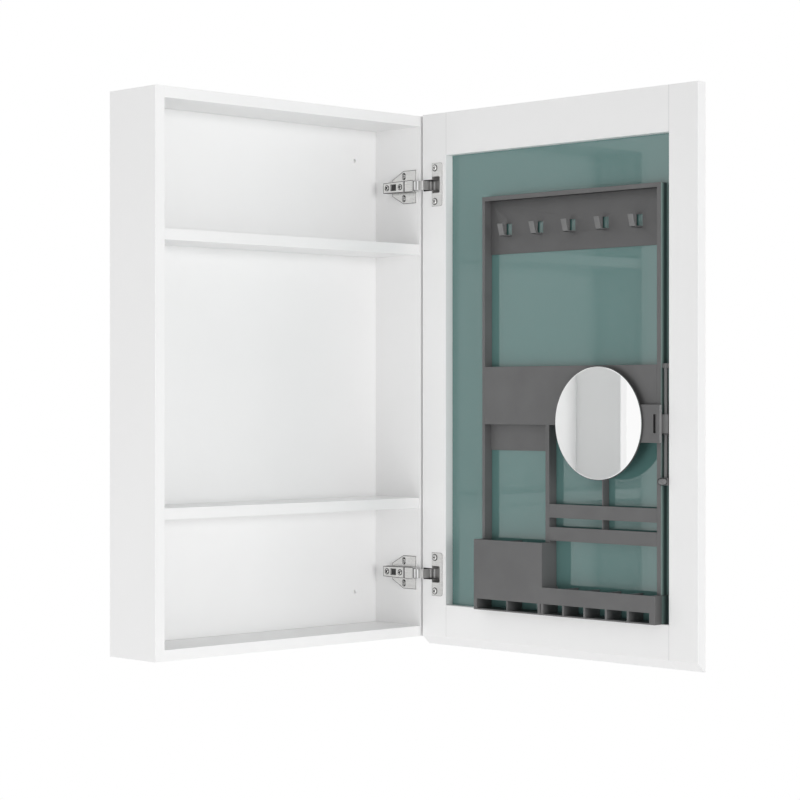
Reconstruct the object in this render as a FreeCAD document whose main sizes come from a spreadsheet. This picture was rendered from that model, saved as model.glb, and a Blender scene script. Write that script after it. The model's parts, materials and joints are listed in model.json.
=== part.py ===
import FreeCAD, Part
import os
import re
import Sketcher

# A wall-hung medicine cabinet, door open at a right angle: a white board carcass with two
# shelves, a framed mirror door on two cup hinges, and a storage rack behind the mirror that
# carries a round shaving mirror on an upright rod.
# Frame: origin at the middle of the back face, +X right, -Y out of the wall, +Z up.
# On the open door, u runs from the hinge edge to the free edge (along -Y) and
# n runs from the door's inner face to its front (along +X).

doc = FreeCAD.newDocument("medicine_cabinet")
sheet = doc.addObject("Spreadsheet::Sheet", "sizes")

sizes = {
    # carcass of boards
    "carcass_width": 498.0,
    "carcass_height": 750.0,
    "carcass_depth": 98.0,
    "board": 15.0,
    "back_sheet": 5.0,
    "shelf_board": 15.0,
    "shelf_setback": 2.0,
    "upper_shelf_drop": 192.5,
    "lower_shelf_rise": 192.0,
    "dowel_radius": 3.0,
    "dowel_length": 24.0,
    "dowel_seat": 9.0,
    "dowel_inset": 22.0,
    "wall_hole_radius": 2.75,
    "wall_hole_inset": 58.0,
    "wall_hole_end": 60.5,
    # door frame and its mirror
    "door_overhang": 3.0,
    "door_gap": 3.5,
    "door_thick": 18.0,
    "door_rise": 1.0,
    "door_drop": 11.0,
    "stile_width": 48.0,
    "top_rail_height": 61.0,
    "bottom_rail_height": 59.0,
    "glass_thick": 3.0,
    "backing_thick": 1.0,
    "mirror_border": 10.0,
    "front_round": 4.0,
    "pull_rise": 13.0,
    "pull_depth": 15.0,
    "hinge_arris": 1.5,
    "door_dowel_radius": 3.0,
    "door_dowel_length": 36.0,
    "door_dowel_spread": 26.0,
    "door_dowel_depth": 7.0,
    # hinge: cup in the door
    "hinge_end": 102.0,
    "pivot_depth": 9.0,
    "pin_radius": 1.5,
    "pin_play": 0.08,
    "cup_edge": 3.0,
    "cup_throat": 18.4,
    "cup_throat_height": 16.0,
    "cup_length": 35.0,
    "cup_height": 25.0,
    "cup_round": 3.0,
    "cup_depth": 12.9,
    "cup_wall": 1.0,
    "cup_floor": 0.8,
    "cup_bore_play": 0.05,
    "stop_gap": 0.6,
    "stop_width": 2.6,
    "stop_height": 13.0,
    "stop_thick": 1.2,
    "flange_reach": 20.8,
    "flange_height": 62.0,
    "flange_thick": 1.5,
    "flange_round": 4.0,
    "cup_screw_offset": 6.0,
    "cup_screw_spacing": 48.0,
    # hinge: plate, arm and neck on the carcass
    "plate_setback": 7.0,
    "plate_length": 49.0,
    "plate_shoulder": 26.0,
    "plate_height": 48.0,
    "plate_tail": 24.0,
    "plate_thick": 2.0,
    "plate_screw_run": 25.0,
    "plate_screw_spacing": 32.0,
    "plate_slot_width": 5.6,
    "plate_slot_length": 9.0,
    "plate_recess": 1.4,
    "plate_head_radius": 2.6,
    "plate_head": 1.2,
    "saddle_width": 12.0,
    "saddle_height": 8.0,
    "arm_front": 4.0,
    "arm_length": 61.0,
    "arm_width": 17.2,
    "arm_tail": 15.0,
    "arm_height": 12.0,
    "arm_metal": 1.2,
    "arm_groove_run": 17.0,
    "arm_groove": 1.4,
    "arm_window_run": 35.0,
    "arm_window_length": 10.0,
    "arm_window_width": 8.0,
    "front_adjuster_run": 26.0,
    "rear_adjuster_run": 53.0,
    "neck_metal": 2.0,
    "neck_width": 12.8,
    "neck_overlap": 14.0,
    "neck_round": 4.0,
    "eye_radius": 2.8,
    "spring_length": 16.0,
    "spring_width": 12.0,
    "spring_thick": 0.8,
    # small screws
    "screw_radius": 1.9,
    "screw_length": 10.0,
    "screw_head_radius": 4.0,
    "screw_head": 1.6,
    "adjuster_radius": 1.5,
    "adjuster_length": 8.0,
    "adjuster_head_radius": 3.4,
    "adjuster_head": 1.2,
    "cross_width": 1.0,
    "cross_length": 4.4,
    "cross_depth": 0.8,
    "thread_play": 0.05,
    # storage rack behind the mirror
    "rack_side_gap": 12.5,
    "rack_width": 322.5,
    "rack_top_gap": 65.0,
    "rack_depth": 15.0,
    "rack_left_bar": 4.7,
    "rack_right_bar": 7.0,
    "rack_top_bar": 6.0,
    "rack_wall": 2.5,
    "hook_panel_height": 74.5,
    "hook_pitch": 59.0,
    "hook_first": 35.0,
    "hook_width": 9.0,
    "hook_level": 34.0,
    "hook_window": 16.0,
    "hook_throat": 13.5,
    "hook_lean": 14.0,
    "hook_leaf": 2.4,
    "pocket_top": 339.0,
    "pocket_height": 80.5,
    "pocket_back_drop": 36.0,
    "post_side": 119.5,
    "post_width": 6.8,
    "divider_side": 219.0,
    "divider_wall": 2.0,
    "upper_tray_level": 132.3,
    "lower_tray_level": 101.0,
    "tray_height": 18.7,
    # bin and pen tray at the foot of the rack
    "bin_overhang": 2.2,
    "bin_depth": 30.0,
    "bin_height": 98.0,
    "bin_width": 128.5,
    "bin_left_wall": 6.1,
    "bin_right_wall": 7.8,
    "pen_tray_height": 37.7,
    "pen_tray_end": 10.0,
    "bin_floor": 2.0,
    "bin_slot_height": 13.2,
    "bin_divider": 2.0,
    "pen_divider": 3.6,
    "bin_slit": 1.2,
    # shaving mirror, its bracket and the rod that carries it
    "rod_radius": 2.5,
    "rod_depth": 2.0,
    "rod_offset": 6.0,
    "rod_top": 340.5,
    "rod_length": 159.0,
    "lug_height": 6.0,
    "foot_lug_height": 10.0,
    "lug_depth": 8.0,
    "clip_grip": 1.0,
    "lug_reach": 11.5,
    "rod_fit": 0.05,
    "knob_radius": 5.2,
    "knob_length": 9.0,
    "knob_screw_radius": 1.5,
    "bush_wall": 1.1,
    "bush_collar": 1.7,
    "sleeve_play": 0.1,
    "sleeve_wall": 1.3,
    "sleeve_height": 24.5,
    "sleeve_level": 261.75,
    "collar_play": 0.3,
    "tongue_width": 3.5,
    "tongue_foot": 2.4,
    "tongue_clearance": 0.6,
    "bracket_thick": 5.0,
    "bracket_height": 50.0,
    "bracket_length": 60.0,
    "bracket_end": 2.0,
    "bracket_slot_inset": 5.8,
    "bracket_slot": 4.9,
    "slot_play": 0.3,
    "slot_catch": 1.5,
    "mirror_reach": 105.7,
    "mirror_radius": 75.4,
    "mirror_glass": 1.8,
    "case_wall": 1.2,
    "case_lip": 1.2,
    "case_rim": 0.8,
    "glass_play": 0.05,
}

for row, (alias, value) in enumerate(sizes.items(), start=1):
    sheet.set(f"A{row}", alias)
    sheet.set(f"B{row}", str(value))
    sheet.setAlias(f"B{row}", alias)
doc.recompute()

# Places worked out from the sizes.
inner_x = "(carcass_width / 2 - board)"
front_y = "(-carcass_depth)"
half_height = "(carcass_height / 2)"
pivot_inset = "(board + door_overhang - pivot_depth)"
hinge_y = f"(-carcass_depth - door_gap - pivot_depth + {pivot_inset})"
pivot_x = f"({inner_x} + pivot_depth)"
pivot_y = "(-carcass_depth - door_gap - pivot_depth)"
door_width = "(carcass_width + 2 * door_overhang)"
door_top = f"({half_height} + door_rise)"
door_foot = f"(-{half_height} - door_drop)"
recess = "(door_thick - glass_thick - backing_thick)"
recess_foot = f"({door_foot} + bottom_rail_height)"
free_wall = f"({door_width} - stile_width)"
rack_right = f"({free_wall} - rack_side_gap)"
rack_left = f"({rack_right} - rack_width)"
rack_top = f"({door_top} - top_rail_height - rack_top_gap)"
rack_front = f"({recess} - rack_depth)"
rack_back_wall = f"({recess} - rack_wall)"
bars_from = f"({rack_left} + rack_left_bar)"
bars_to = f"({rack_right} - rack_right_bar)"
hinge_levels = {
    "upper": f"({door_top} - hinge_end)",
    "lower": f"({door_foot} + hinge_end)",
}


def linked(text):
    # Turns each size's name in an expression into a reference to the sheet.
    def refer(match):
        word = match.group(0)
        return "sizes." + word if word in sizes else word
    return re.sub(r"[a-z_]+", refer, text)


def number(text):
    return float(sheet.evalExpression(linked(text)))


def tie(piece, prop, text):
    piece.setExpression(prop, linked(text))


def place(piece, spot, axis=None):
    if axis:
        turn = FreeCAD.Rotation(FreeCAD.Vector(0, 0, 1), FreeCAD.Vector(*axis))
        piece.Placement = FreeCAD.Placement(FreeCAD.Vector(), turn)
    for edge, text in zip("xyz", spot):
        tie(piece, "Placement.Base." + edge, text)
    return piece


def box(name, x, y, z):
    piece = doc.addObject("Part::Box", name)
    for side, (low, high) in zip(("Length", "Width", "Height"), (x, y, z)):
        tie(piece, side, f"({high}) - ({low})")
    return place(piece, (x[0], y[0], z[0]))


def door_box(name, u, n, z):
    across = (f"{inner_x} + {n[0]}", f"{inner_x} + {n[1]}")
    along = (f"{hinge_y} - ({u[1]})", f"{hinge_y} - ({u[0]})")
    return box(name, across, along, z)


def round_bar(name, radius, length, spot, axis):
    piece = doc.addObject("Part::Cylinder", name)
    tie(piece, "Radius", radius)
    tie(piece, "Height", length)
    return place(piece, spot, axis)


def door_bar(name, radius, length, u, n, z, axis):
    return round_bar(name, radius, length, (f"{inner_x} + {n}", f"{hinge_y} - ({u})", z), axis)


def join(name, pieces):
    joined = doc.addObject("Part::MultiFuse", name)
    joined.Shapes = pieces
    joined.Refine = True
    return joined


def cut(name, base, tools):
    result = doc.addObject("Part::Cut", name)
    result.Base = base
    result.Tool = tools[0] if len(tools) == 1 else join(name + "_tools", tools)
    return result


def group(name, pieces):
    grouped = doc.addObject("Part::Compound", name)
    grouped.Links = pieces
    return grouped


def rounded(name, base, radius, spots):
    # Rounds the edges that lie flat at the given coordinates, each spot a dictionary of axis and place.
    doc.recompute()
    chosen = []
    for index, edge in enumerate(base.Shape.Edges, start=1):
        ends = {"x": (edge.BoundBox.XMin, edge.BoundBox.XMax),
                "y": (edge.BoundBox.YMin, edge.BoundBox.YMax),
                "z": (edge.BoundBox.ZMin, edge.BoundBox.ZMax)}
        for spot in spots:
            if all(abs(ends[axis][0] - at) < 0.01 and abs(ends[axis][1] - at) < 0.01
                   for axis, at in spot.items()):
                chosen.append((index, radius, radius))
    result = doc.addObject("Part::Fillet", name)
    result.Base = base
    result.Edges = chosen
    return result


def origin_plane(body, role):
    return next(item for item in body.Origin.OriginFeatures if item.Role == role)


def outline(body, name, role, corners):
    # A closed outline of straight runs, every corner tied to the sheet.
    sketch = body.newObject("Sketcher::SketchObject", name)
    sketch.AttachmentSupport = [(origin_plane(body, role), "")]
    sketch.MapMode = "FlatFace"
    spots = [FreeCAD.Vector(number(a), number(b), 0) for a, b in corners]
    count = len(spots)
    for index in range(count):
        sketch.addGeometry(Part.LineSegment(spots[index], spots[(index + 1) % count]))
    for index in range(count):
        sketch.addConstraint(Sketcher.Constraint("Coincident", index, 2, (index + 1) % count, 1))
    for index, corner in enumerate(corners):
        for kind, text, size in zip(("DistanceX", "DistanceY"), corner, spots[index]):
            spot = sketch.addConstraint(Sketcher.Constraint(kind, index, 1, size))
            tie(sketch, f"Constraints[{spot}]", text)
    return sketch


def slab(name, role, corners, thickness, spot, reverse=False):
    # A flat piece cut to an outline.
    body = doc.addObject("PartDesign::Body", name)
    sketch = outline(body, name + "_outline", role, corners)
    pad = body.newObject("PartDesign::Pad", name + "_pad")
    pad.Profile = sketch
    pad.Reversed = reverse
    tie(pad, "Length", thickness)
    sketch.Visibility = False
    return place(body, spot)


def turned(name, corners, spot, axis):
    # A round piece, its half section turned about its own upright axis.
    body = doc.addObject("PartDesign::Body", name)
    sketch = outline(body, name + "_section", "XZ_Plane", corners)
    turn = body.newObject("PartDesign::Revolution", name + "_turn")
    turn.Profile = sketch
    turn.ReferenceAxis = (sketch, ["V_Axis"])
    turn.Angle = 360.0
    return place(body, spot, axis)


def cross_screw(name, radius, length, head_radius, head, spot, inward):
    # A screw whose head lies outside its seat at spot, its shank along inward.
    outward = tuple(-part for part in inward)
    shank = round_bar(name + "_shank", radius, length, spot, inward)
    top = round_bar(name + "_head", head_radius, head, spot, outward)
    slots = []
    step = sum(outward)
    seat = f"{spot[0]} + {step} * ({head} - cross_depth)"
    face = f"{spot[0]} + {step} * {head}"
    x = (seat, face) if step > 0 else (face, seat)
    for label, long_way, wide in (("a", "cross_length", "cross_width"), ("b", "cross_width", "cross_length")):
        y = (f"{spot[1]} - {long_way} / 2", f"{spot[1]} + {long_way} / 2")
        z = (f"{spot[2]} - {wide} / 2", f"{spot[2]} + {wide} / 2")
        slots.append(box(f"{name}_cross_{label}", x, y, z))
    return cut(name, join(name + "_blank", [shank, top]), slots)


nodes = {}


def keep(name, piece):
    piece.Label = name
    nodes[name] = piece
    return piece


# Carcass: two full-height sides, top, bottom, back and two shelves, joined by dowels.
side_reach = "(carcass_width / 2)"
inside_height = f"({half_height} - board)"
dowel_rows = {"front": f"({front_y} + dowel_inset)", "rear": "(-back_sheet - dowel_inset)"}
cross_boards = {
    "top": f"({half_height} - board / 2)",
    "bottom": f"(-{half_height} + board / 2)",
    "upper_shelf": f"({half_height} - upper_shelf_drop)",
    "lower_shelf": f"(-{half_height} + lower_shelf_rise)",
}


def dowel(name, side, depth, level):
    start = f"{side} * ({inner_x} + dowel_seat)"
    return round_bar(name, "dowel_radius", "dowel_length", (start, depth, level), (-side, 0, 0))


def dowel_set(name, side, boards):
    pieces = []
    for board_name in boards:
        for row, depth in dowel_rows.items():
            label = f"{name}_{board_name}_{row}"
            pieces.append(dowel(label, side, depth, cross_boards[board_name]))
    return pieces


def plate_screw_spots(which):
    run = f"({front_y} + plate_setback + plate_screw_run)"
    for step in (-1, 1):
        yield inner_x, run, f"({hinge_levels[which]} + {step} * plate_screw_spacing / 2)"


def make_carcass():
    full_depth = (front_y, "0")
    full_height = (f"-{half_height}", half_height)
    for label, side in (("left", -1), ("right", 1)):
        x = (inner_x, side_reach) if side > 0 else (f"-{side_reach}", f"-{inner_x}")
        blank = box(label + "_side_blank", x, full_depth, full_height)
        holes = dowel_set(label + "_side_hole", side, cross_boards)
        if side > 0:
            for which in hinge_levels:
                for index, spot in enumerate(plate_screw_spots(which)):
                    name = f"{label}_pilot_{which}_{index}"
                    holes.append(round_bar(name, "screw_radius + thread_play",
                                           "screw_length - plate_thick + plate_recess", spot, (1, 0, 0)))
        keep(label + "_side_panel", cut(label + "_side_panel", blank, holes))

    inside = (f"-{inner_x}", inner_x)
    shelf_run = (f"{front_y} + shelf_setback", "-back_sheet")
    for name, level in cross_boards.items():
        thick = "shelf_board" if "shelf" in name else "board"
        node = name if "shelf" in name else name + "_panel"
        run = shelf_run if "shelf" in name else full_depth
        z = (f"{level} - {thick} / 2", f"{level} + {thick} / 2")
        blank = box(node + "_blank", inside, run, z)
        holes = dowel_set(node + "_left_hole", -1, [name]) + dowel_set(node + "_right_hole", 1, [name])
        keep(node, cut(node, blank, holes))

    for node, boards in (("corner_dowels", ("top", "bottom")), ("shelf_dowels", ("upper_shelf", "lower_shelf"))):
        pieces = dowel_set(node + "_left", -1, boards) + dowel_set(node + "_right", 1, boards)
        keep(node, group(node, pieces))

    back = box("back_blank", inside, ("-back_sheet", "0"), (f"-{inside_height}", inside_height))
    holes = []
    for side in (-1, 1):
        for level in (-1, 1):
            spot = (f"{side} * ({side_reach} - wall_hole_inset)", "0", f"{level} * ({half_height} - wall_hole_end)")
            holes.append(round_bar(f"wall_hole_{len(holes)}", "wall_hole_radius", "back_sheet", spot, (0, -1, 0)))
    keep("back_panel", cut("back_panel", back, holes))


# Hinges: a screwed plate with a saddle, channel arm, neck and spring on the carcass, a cup let into the door.
plate_face = f"({inner_x} - plate_thick)"
arm_top = f"({inner_x} - arm_height)"
arm_nose = f"({front_y} + arm_front)"
arm_web = f"({arm_top} + arm_metal)"


def adjuster_spots(level):
    for run in ("front_adjuster_run", "rear_adjuster_run"):
        yield arm_top, f"({arm_nose} + {run})", level


def adjuster_bores(name, level, radius):
    bores = []
    for spot in adjuster_spots(level):
        bores.append(round_bar(f"{name}_{len(bores)}", radius, "adjuster_length", spot, (1, 0, 0)))
    return bores


def make_plate(which, level):
    name = "hinge_plate_" + which
    half_tail = "(plate_height - plate_tail) / 2"
    corners = [("0", "0"), ("plate_shoulder", "0"), ("plate_length", half_tail),
               ("plate_length", f"plate_height - {half_tail}"), ("plate_shoulder", "plate_height"),
               ("0", "plate_height")]
    nose = f"{front_y} + plate_setback"
    flat = slab(name + "_flat", "YZ_Plane", corners, "plate_thick",
                (inner_x, nose, f"{level} - plate_height / 2"), reverse=True)
    saddle = box(name + "_saddle", (f"{inner_x} - saddle_height", plate_face),
                 (nose, f"{nose} + plate_length"),
                 (f"{level} - saddle_width / 2", f"{level} + saddle_width / 2"))
    bores = adjuster_bores(name + "_thread", level, "adjuster_radius + thread_play")
    for index, spot in enumerate(plate_screw_spots(which)):
        bores.append(round_bar(f"{name}_hole_{index}", "screw_radius + thread_play", "plate_thick",
                               spot, (-1, 0, 0)))
        bores += plate_slot(f"{name}_slot_{index}", spot[1], spot[2])
    keep(name, cut(name, join(name + "_blank", [flat, saddle]), bores))


def plate_slot(name, run, level):
    # An upright slot with round ends, sunk part way into the plate to take a screw's head.
    reach = "(plate_slot_length - plate_slot_width) / 2"
    half = "plate_slot_width / 2"
    pieces = [box(name, (plate_face, f"{plate_face} + plate_recess"), (f"{run} - {half}", f"{run} + {half}"),
                  (f"{level} - {reach}", f"{level} + {reach}"))]
    for step in (-1, 1):
        spot = (plate_face, run, f"{level} + {step} * {reach}")
        pieces.append(round_bar(f"{name}_end_{step + 1}", half, "plate_recess", spot, (1, 0, 0)))
    return pieces


def make_arm(which, level):
    name = "hinge_arm_" + which
    half = "arm_width / 2"
    taper = "(arm_width - arm_tail) / 2"
    foot = f"{level} - {half}"
    outer = [("0", "0"), ("arm_length", taper), ("arm_length", f"arm_width - {taper}"), ("0", "arm_width")]
    inner = [("0", "arm_metal"), ("arm_length", f"{taper} + arm_metal"),
             ("arm_length", f"arm_width - {taper} - arm_metal"), ("0", "arm_width - arm_metal")]
    blank = slab(name + "_blank", "YZ_Plane", outer, "arm_height - plate_thick", (arm_top, arm_nose, foot))
    hollow = slab(name + "_hollow", "YZ_Plane", inner, "arm_height - plate_thick - arm_metal",
                  (arm_web, arm_nose, foot))
    window_from = f"({arm_nose} + arm_window_run)"
    window = box(name + "_window", (arm_top, arm_web), (window_from, f"{window_from} + arm_window_length"),
                 (f"{level} - arm_window_width / 2", f"{level} + arm_window_width / 2"))
    groove_from = f"({arm_nose} + arm_groove_run)"
    groove = box(name + "_groove", (arm_top, f"{arm_top} + arm_metal / 2"),
                 (groove_from, f"{groove_from} + arm_groove"), (f"{level} - {half}", f"{level} + {half}"))
    bores = adjuster_bores(name + "_hole", level, "adjuster_radius + thread_play")
    keep(name, cut(name, blank, [hollow, window, groove] + bores))

    spring = "hinge_spring_" + which
    middle = f"({window_from} + arm_window_length / 2)"
    keep(spring, box(spring, (arm_web, f"{arm_web} + spring_thick"),
                     (f"{middle} - spring_length / 2", f"{middle} + spring_length / 2"),
                     (f"{level} - spring_width / 2", f"{level} + spring_width / 2")))


def make_neck(which, level):
    name = "hinge_neck_" + which
    z = (f"{level} - neck_width / 2", f"{level} + neck_width / 2")
    low = f"({pivot_y} - neck_metal / 2)"
    run = box(name + "_run", (arm_web, f"{arm_web} + neck_metal"), (low, f"{arm_nose} + neck_overlap"), z)
    foot = box(name + "_foot", (arm_web, pivot_x), (low, f"{low} + neck_metal"), z)
    bend = join(name + "_bend", [run, foot])
    outer = {"x": number(arm_web), "y": number(low)}
    bend = rounded(name + "_round", bend, number("neck_round"), [outer])
    foot_spot = (pivot_x, pivot_y, z[0])
    eye = round_bar(name + "_eye", "eye_radius", "neck_width", foot_spot, (0, 0, 1))
    bore = round_bar(name + "_bore", "pin_radius + pin_play", "neck_width", foot_spot, (0, 0, 1))
    keep(name, cut(name, join(name + "_blank", [bend, eye]), [bore]))


def cup_blocks(name, level, grow, n):
    # The keyhole-shaped body of a cup: a narrow throat for the neck, then a wider chamber with round corners.
    start, throat, end = "cup_edge", "(cup_edge + cup_throat)", "(cup_edge + cup_length)"
    narrow = f"(cup_throat_height / 2 + {grow})"
    wide = f"(cup_height / 2 + {grow})"
    slot = door_box(name + "_throat", (f"{start} - {grow}", f"{throat} + cup_length / 4"), n,
                    (f"{level} - {narrow}", f"{level} + {narrow}"))
    chamber = door_box(name + "_chamber", (f"{throat} - {grow}", f"{end} + {grow}"), n,
                       (f"{level} - {wide}", f"{level} + {wide}"))
    far = number(f"{hinge_y} - ({end} + {grow})")
    corners = [{"y": far, "z": number(f"{level} - {wide}")}, {"y": far, "z": number(f"{level} + {wide}")}]
    return [slot, rounded(name + "_corners", chamber, number(f"cup_round + {grow}"), corners)]


def make_cup(which, level):
    name = "hinge_cup_" + which
    near = "(cup_edge + cup_throat)"
    half = "flange_height / 2"
    wing = door_box(name + "_wing", (near, f"{near} + flange_reach"), ("-flange_thick", "0"),
                    (f"{level} - {half}", f"{level} + {half}"))
    far = number(f"{hinge_y} - ({near} + flange_reach)")
    wing = rounded(name + "_wing_round", wing, number("flange_round"),
                   [{"y": far, "z": number(f"{level} - {half}")}, {"y": far, "z": number(f"{level} + {half}")}])
    inner_floor = "(cup_depth - cup_floor)"
    holes = cup_blocks(name + "_hollow", level, "(-cup_wall)", ("-flange_thick", inner_floor))
    pin_spot = (pivot_x, pivot_y, f"{level} - cup_throat_height / 2")
    holes.append(round_bar(name + "_pin_seat", "pin_radius", "cup_throat_height", pin_spot, (0, 0, 1)))
    for index, spot in enumerate(cup_screw_spots(which)):
        holes.append(door_bar(f"{name}_hole_{index}", "screw_radius + thread_play", "flange_thick", *spot, (1, 0, 0)))
    blocks = cup_blocks(name + "_shell", level, "0", ("0", "cup_depth"))
    keep(name, cut(name, join(name + "_blank", blocks + [wing]), holes))
    pin = "hinge_pin_" + which
    keep(pin, round_bar(pin, "pin_radius", "cup_throat_height", pin_spot, (0, 0, 1)))
    stop = "hinge_stop_" + which
    stop_from = f"({pivot_inset} + eye_radius + stop_gap)"
    keep(stop, door_box(stop, (stop_from, f"{stop_from} + stop_width"), (f"{inner_floor} - stop_thick", inner_floor),
                        (f"{level} - stop_height / 2", f"{level} + stop_height / 2")))


def cup_screw_spots(which):
    across = "(cup_edge + cup_throat + cup_screw_offset)"
    for step in (-1, 1):
        yield across, "-flange_thick", f"({hinge_levels[which]} + {step} * cup_screw_spacing / 2)"


def make_hinges():
    plate_screws, cup_screws, adjusters = [], [], []
    for which, level in hinge_levels.items():
        make_plate(which, level)
        make_arm(which, level)
        make_neck(which, level)
        make_cup(which, level)
        for spot in plate_screw_spots(which):
            seat = (f"({plate_face} + plate_recess)", spot[1], spot[2])
            plate_screws.append(cross_screw(f"plate_screw_{len(plate_screws)}", "screw_radius", "screw_length",
                                            "plate_head_radius", "plate_head", seat, (1, 0, 0)))
        for u, n, z in cup_screw_spots(which):
            seat = (f"({inner_x} + {n})", f"({hinge_y} - {u})", z)
            cup_screws.append(cross_screw(f"cup_screw_{len(cup_screws)}", "screw_radius", "screw_length",
                                          "screw_head_radius", "screw_head", seat, (1, 0, 0)))
        for spot in adjuster_spots(level):
            adjusters.append(cross_screw(f"adjuster_{len(adjusters)}", "adjuster_radius", "adjuster_length",
                                         "adjuster_head_radius", "adjuster_head", spot, (1, 0, 0)))
    keep("hinge_plate_screws", group("hinge_plate_screws", plate_screws))
    keep("hinge_cup_screws", group("hinge_cup_screws", cup_screws))
    keep("hinge_adjusters", group("hinge_adjusters", adjusters))


# Door: two stiles and two rails joined by dowels, a mirror let into the front and its coloured back.
full_door = ("0", "door_thick")
rails = {
    "top_rail": (f"({door_top} - top_rail_height / 2)", f"({door_top} - top_rail_height)", door_top),
    "bottom_rail": (f"({recess_foot} - bottom_rail_height / 2 + pull_rise / 2)", door_foot, recess_foot),
}
mirror_z = (f"{door_foot} + mirror_border", f"{door_top} - mirror_border")


def door_dowels(name, stile_edge):
    # The dowels across one stile's joints: half their length in the stile, half in the rails.
    start = f"{stile_edge} - door_dowel_length / 2"
    pieces = []
    for rail, (middle, low, high) in rails.items():
        for step in (-1, 1):
            level = f"{middle} + {step} * door_dowel_spread / 2"
            pieces.append(door_bar(f"{name}_{rail}_{len(pieces)}", "door_dowel_radius", "door_dowel_length",
                                   start, "door_dowel_depth", level, (0, -1, 0)))
    return pieces


def mirror_rebate(name):
    return door_box(name, ("mirror_border", f"{door_width} - mirror_border"), (recess, "door_thick"), mirror_z)


def make_stiles():
    edges = {"hinge_stile": ("0", "stile_width"), "free_stile": (free_wall, door_width)}
    for name, (low, high) in edges.items():
        blank = door_box(name + "_blank", (low, high), full_door, (door_foot, door_top))
        joint = high if name == "hinge_stile" else low
        holes = door_dowels(name + "_hole", joint)
        holes.append(mirror_rebate(name + "_rebate"))
        holes.append(finger_bevel(name + "_pull", low, high))
        if name == "hinge_stile":
            holes += cup_seats(name)
        shaped = cut(name + "_shaped", blank, holes)
        outer = low if name == "hinge_stile" else high
        front = number(f"{inner_x} + door_thick")
        side = number(f"{hinge_y} - ({outer})")
        shaped = rounded(name + "_round", shaped, number("front_round"),
                         [{"x": front, "y": side}, {"x": front, "z": number(door_top)}])
        if name == "hinge_stile":
            corner = {"x": number(inner_x), "y": side}
            shaped = eased(name + "_eased", shaped, number("hinge_arris"), corner)
        keep(name, shaped)


def eased(name, base, leg, spot):
    # Takes the sharp edge off the corner that passes the carcass as the door turns.
    doc.recompute()
    chosen = []
    for index, edge in enumerate(base.Shape.Edges, start=1):
        limits = edge.BoundBox
        if abs(limits.XMax - spot["x"]) < 0.01 and abs(limits.XMin - spot["x"]) < 0.01:
            if abs(limits.YMax - spot["y"]) < 0.01 and abs(limits.YMin - spot["y"]) < 0.01:
                chosen.append((index, leg, leg))
    result = doc.addObject("Part::Chamfer", name)
    result.Base = base
    result.Edges = chosen
    return result


def cup_seats(name):
    seats = []
    for which, level in hinge_levels.items():
        seats += cup_blocks(f"{name}_cup_{which}", level, "cup_bore_play", ("0", "cup_depth + cup_bore_play"))
        for index, spot in enumerate(cup_screw_spots(which)):
            seats.append(door_bar(f"{name}_pilot_{which}_{index}", "screw_radius + thread_play",
                                  "screw_length - flange_thick", spot[0], "0", spot[2], (1, 0, 0)))
    return seats


def finger_bevel(name, low, high):
    # The slope under the door that fingers pull on.
    corners = [("0", "0"), ("pull_depth", "0"), ("0", "pull_rise")]
    return slab(name, "XZ_Plane", corners, f"({high}) - ({low})",
                (inner_x, f"{hinge_y} - ({low})", door_foot))


def make_rails():
    for name, (middle, low, high) in rails.items():
        blank = door_box(name + "_blank", ("stile_width", free_wall), full_door, (low, high))
        holes = door_dowels(name + "_hinge_hole", "stile_width")
        holes += door_dowels(name + "_free_hole", free_wall)
        holes.append(mirror_rebate(name + "_rebate"))
        if name == "bottom_rail":
            holes.append(finger_bevel(name + "_pull", "stile_width", free_wall))
        shaped = cut(name + "_shaped", blank, holes)
        if name == "top_rail":
            spot = {"x": number(f"{inner_x} + door_thick"), "z": number(door_top)}
            shaped = rounded(name + "_round", shaped, number("front_round"), [spot])
        keep(name, shaped)


def make_door():
    make_stiles()
    make_rails()
    pieces = door_dowels("door_dowel_hinge", "stile_width") + door_dowels("door_dowel_free", free_wall)
    keep("door_dowels", group("door_dowels", pieces))
    across = ("mirror_border", f"{door_width} - mirror_border")
    keep("mirror_backing", door_box("mirror_backing", across, (recess, f"{recess} + backing_thick"), mirror_z))
    keep("door_mirror", door_box("door_mirror", across, (f"{recess} + backing_thick", "door_thick"), mirror_z))


# Storage rack: frame with rod lugs, hook panel, pocket, two trays, and a bin with a pen tray below.
rod_u = f"({rack_right} + rod_offset)"
full_rack = (rack_front, recess)
pocket_top = f"({recess_foot} + pocket_top)"
pocket_foot = f"({recess_foot} + pocket_top - pocket_height)"
bin_top = f"({recess_foot} + bin_height)"
pen_top = f"({recess_foot} + pen_tray_height)"
post_from = f"({rack_left} + post_side)"
post_to = f"({post_from} + post_width)"
rod_top = f"({recess_foot} + rod_top)"
rod_foot = f"({rod_top} - rod_length)"


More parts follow.
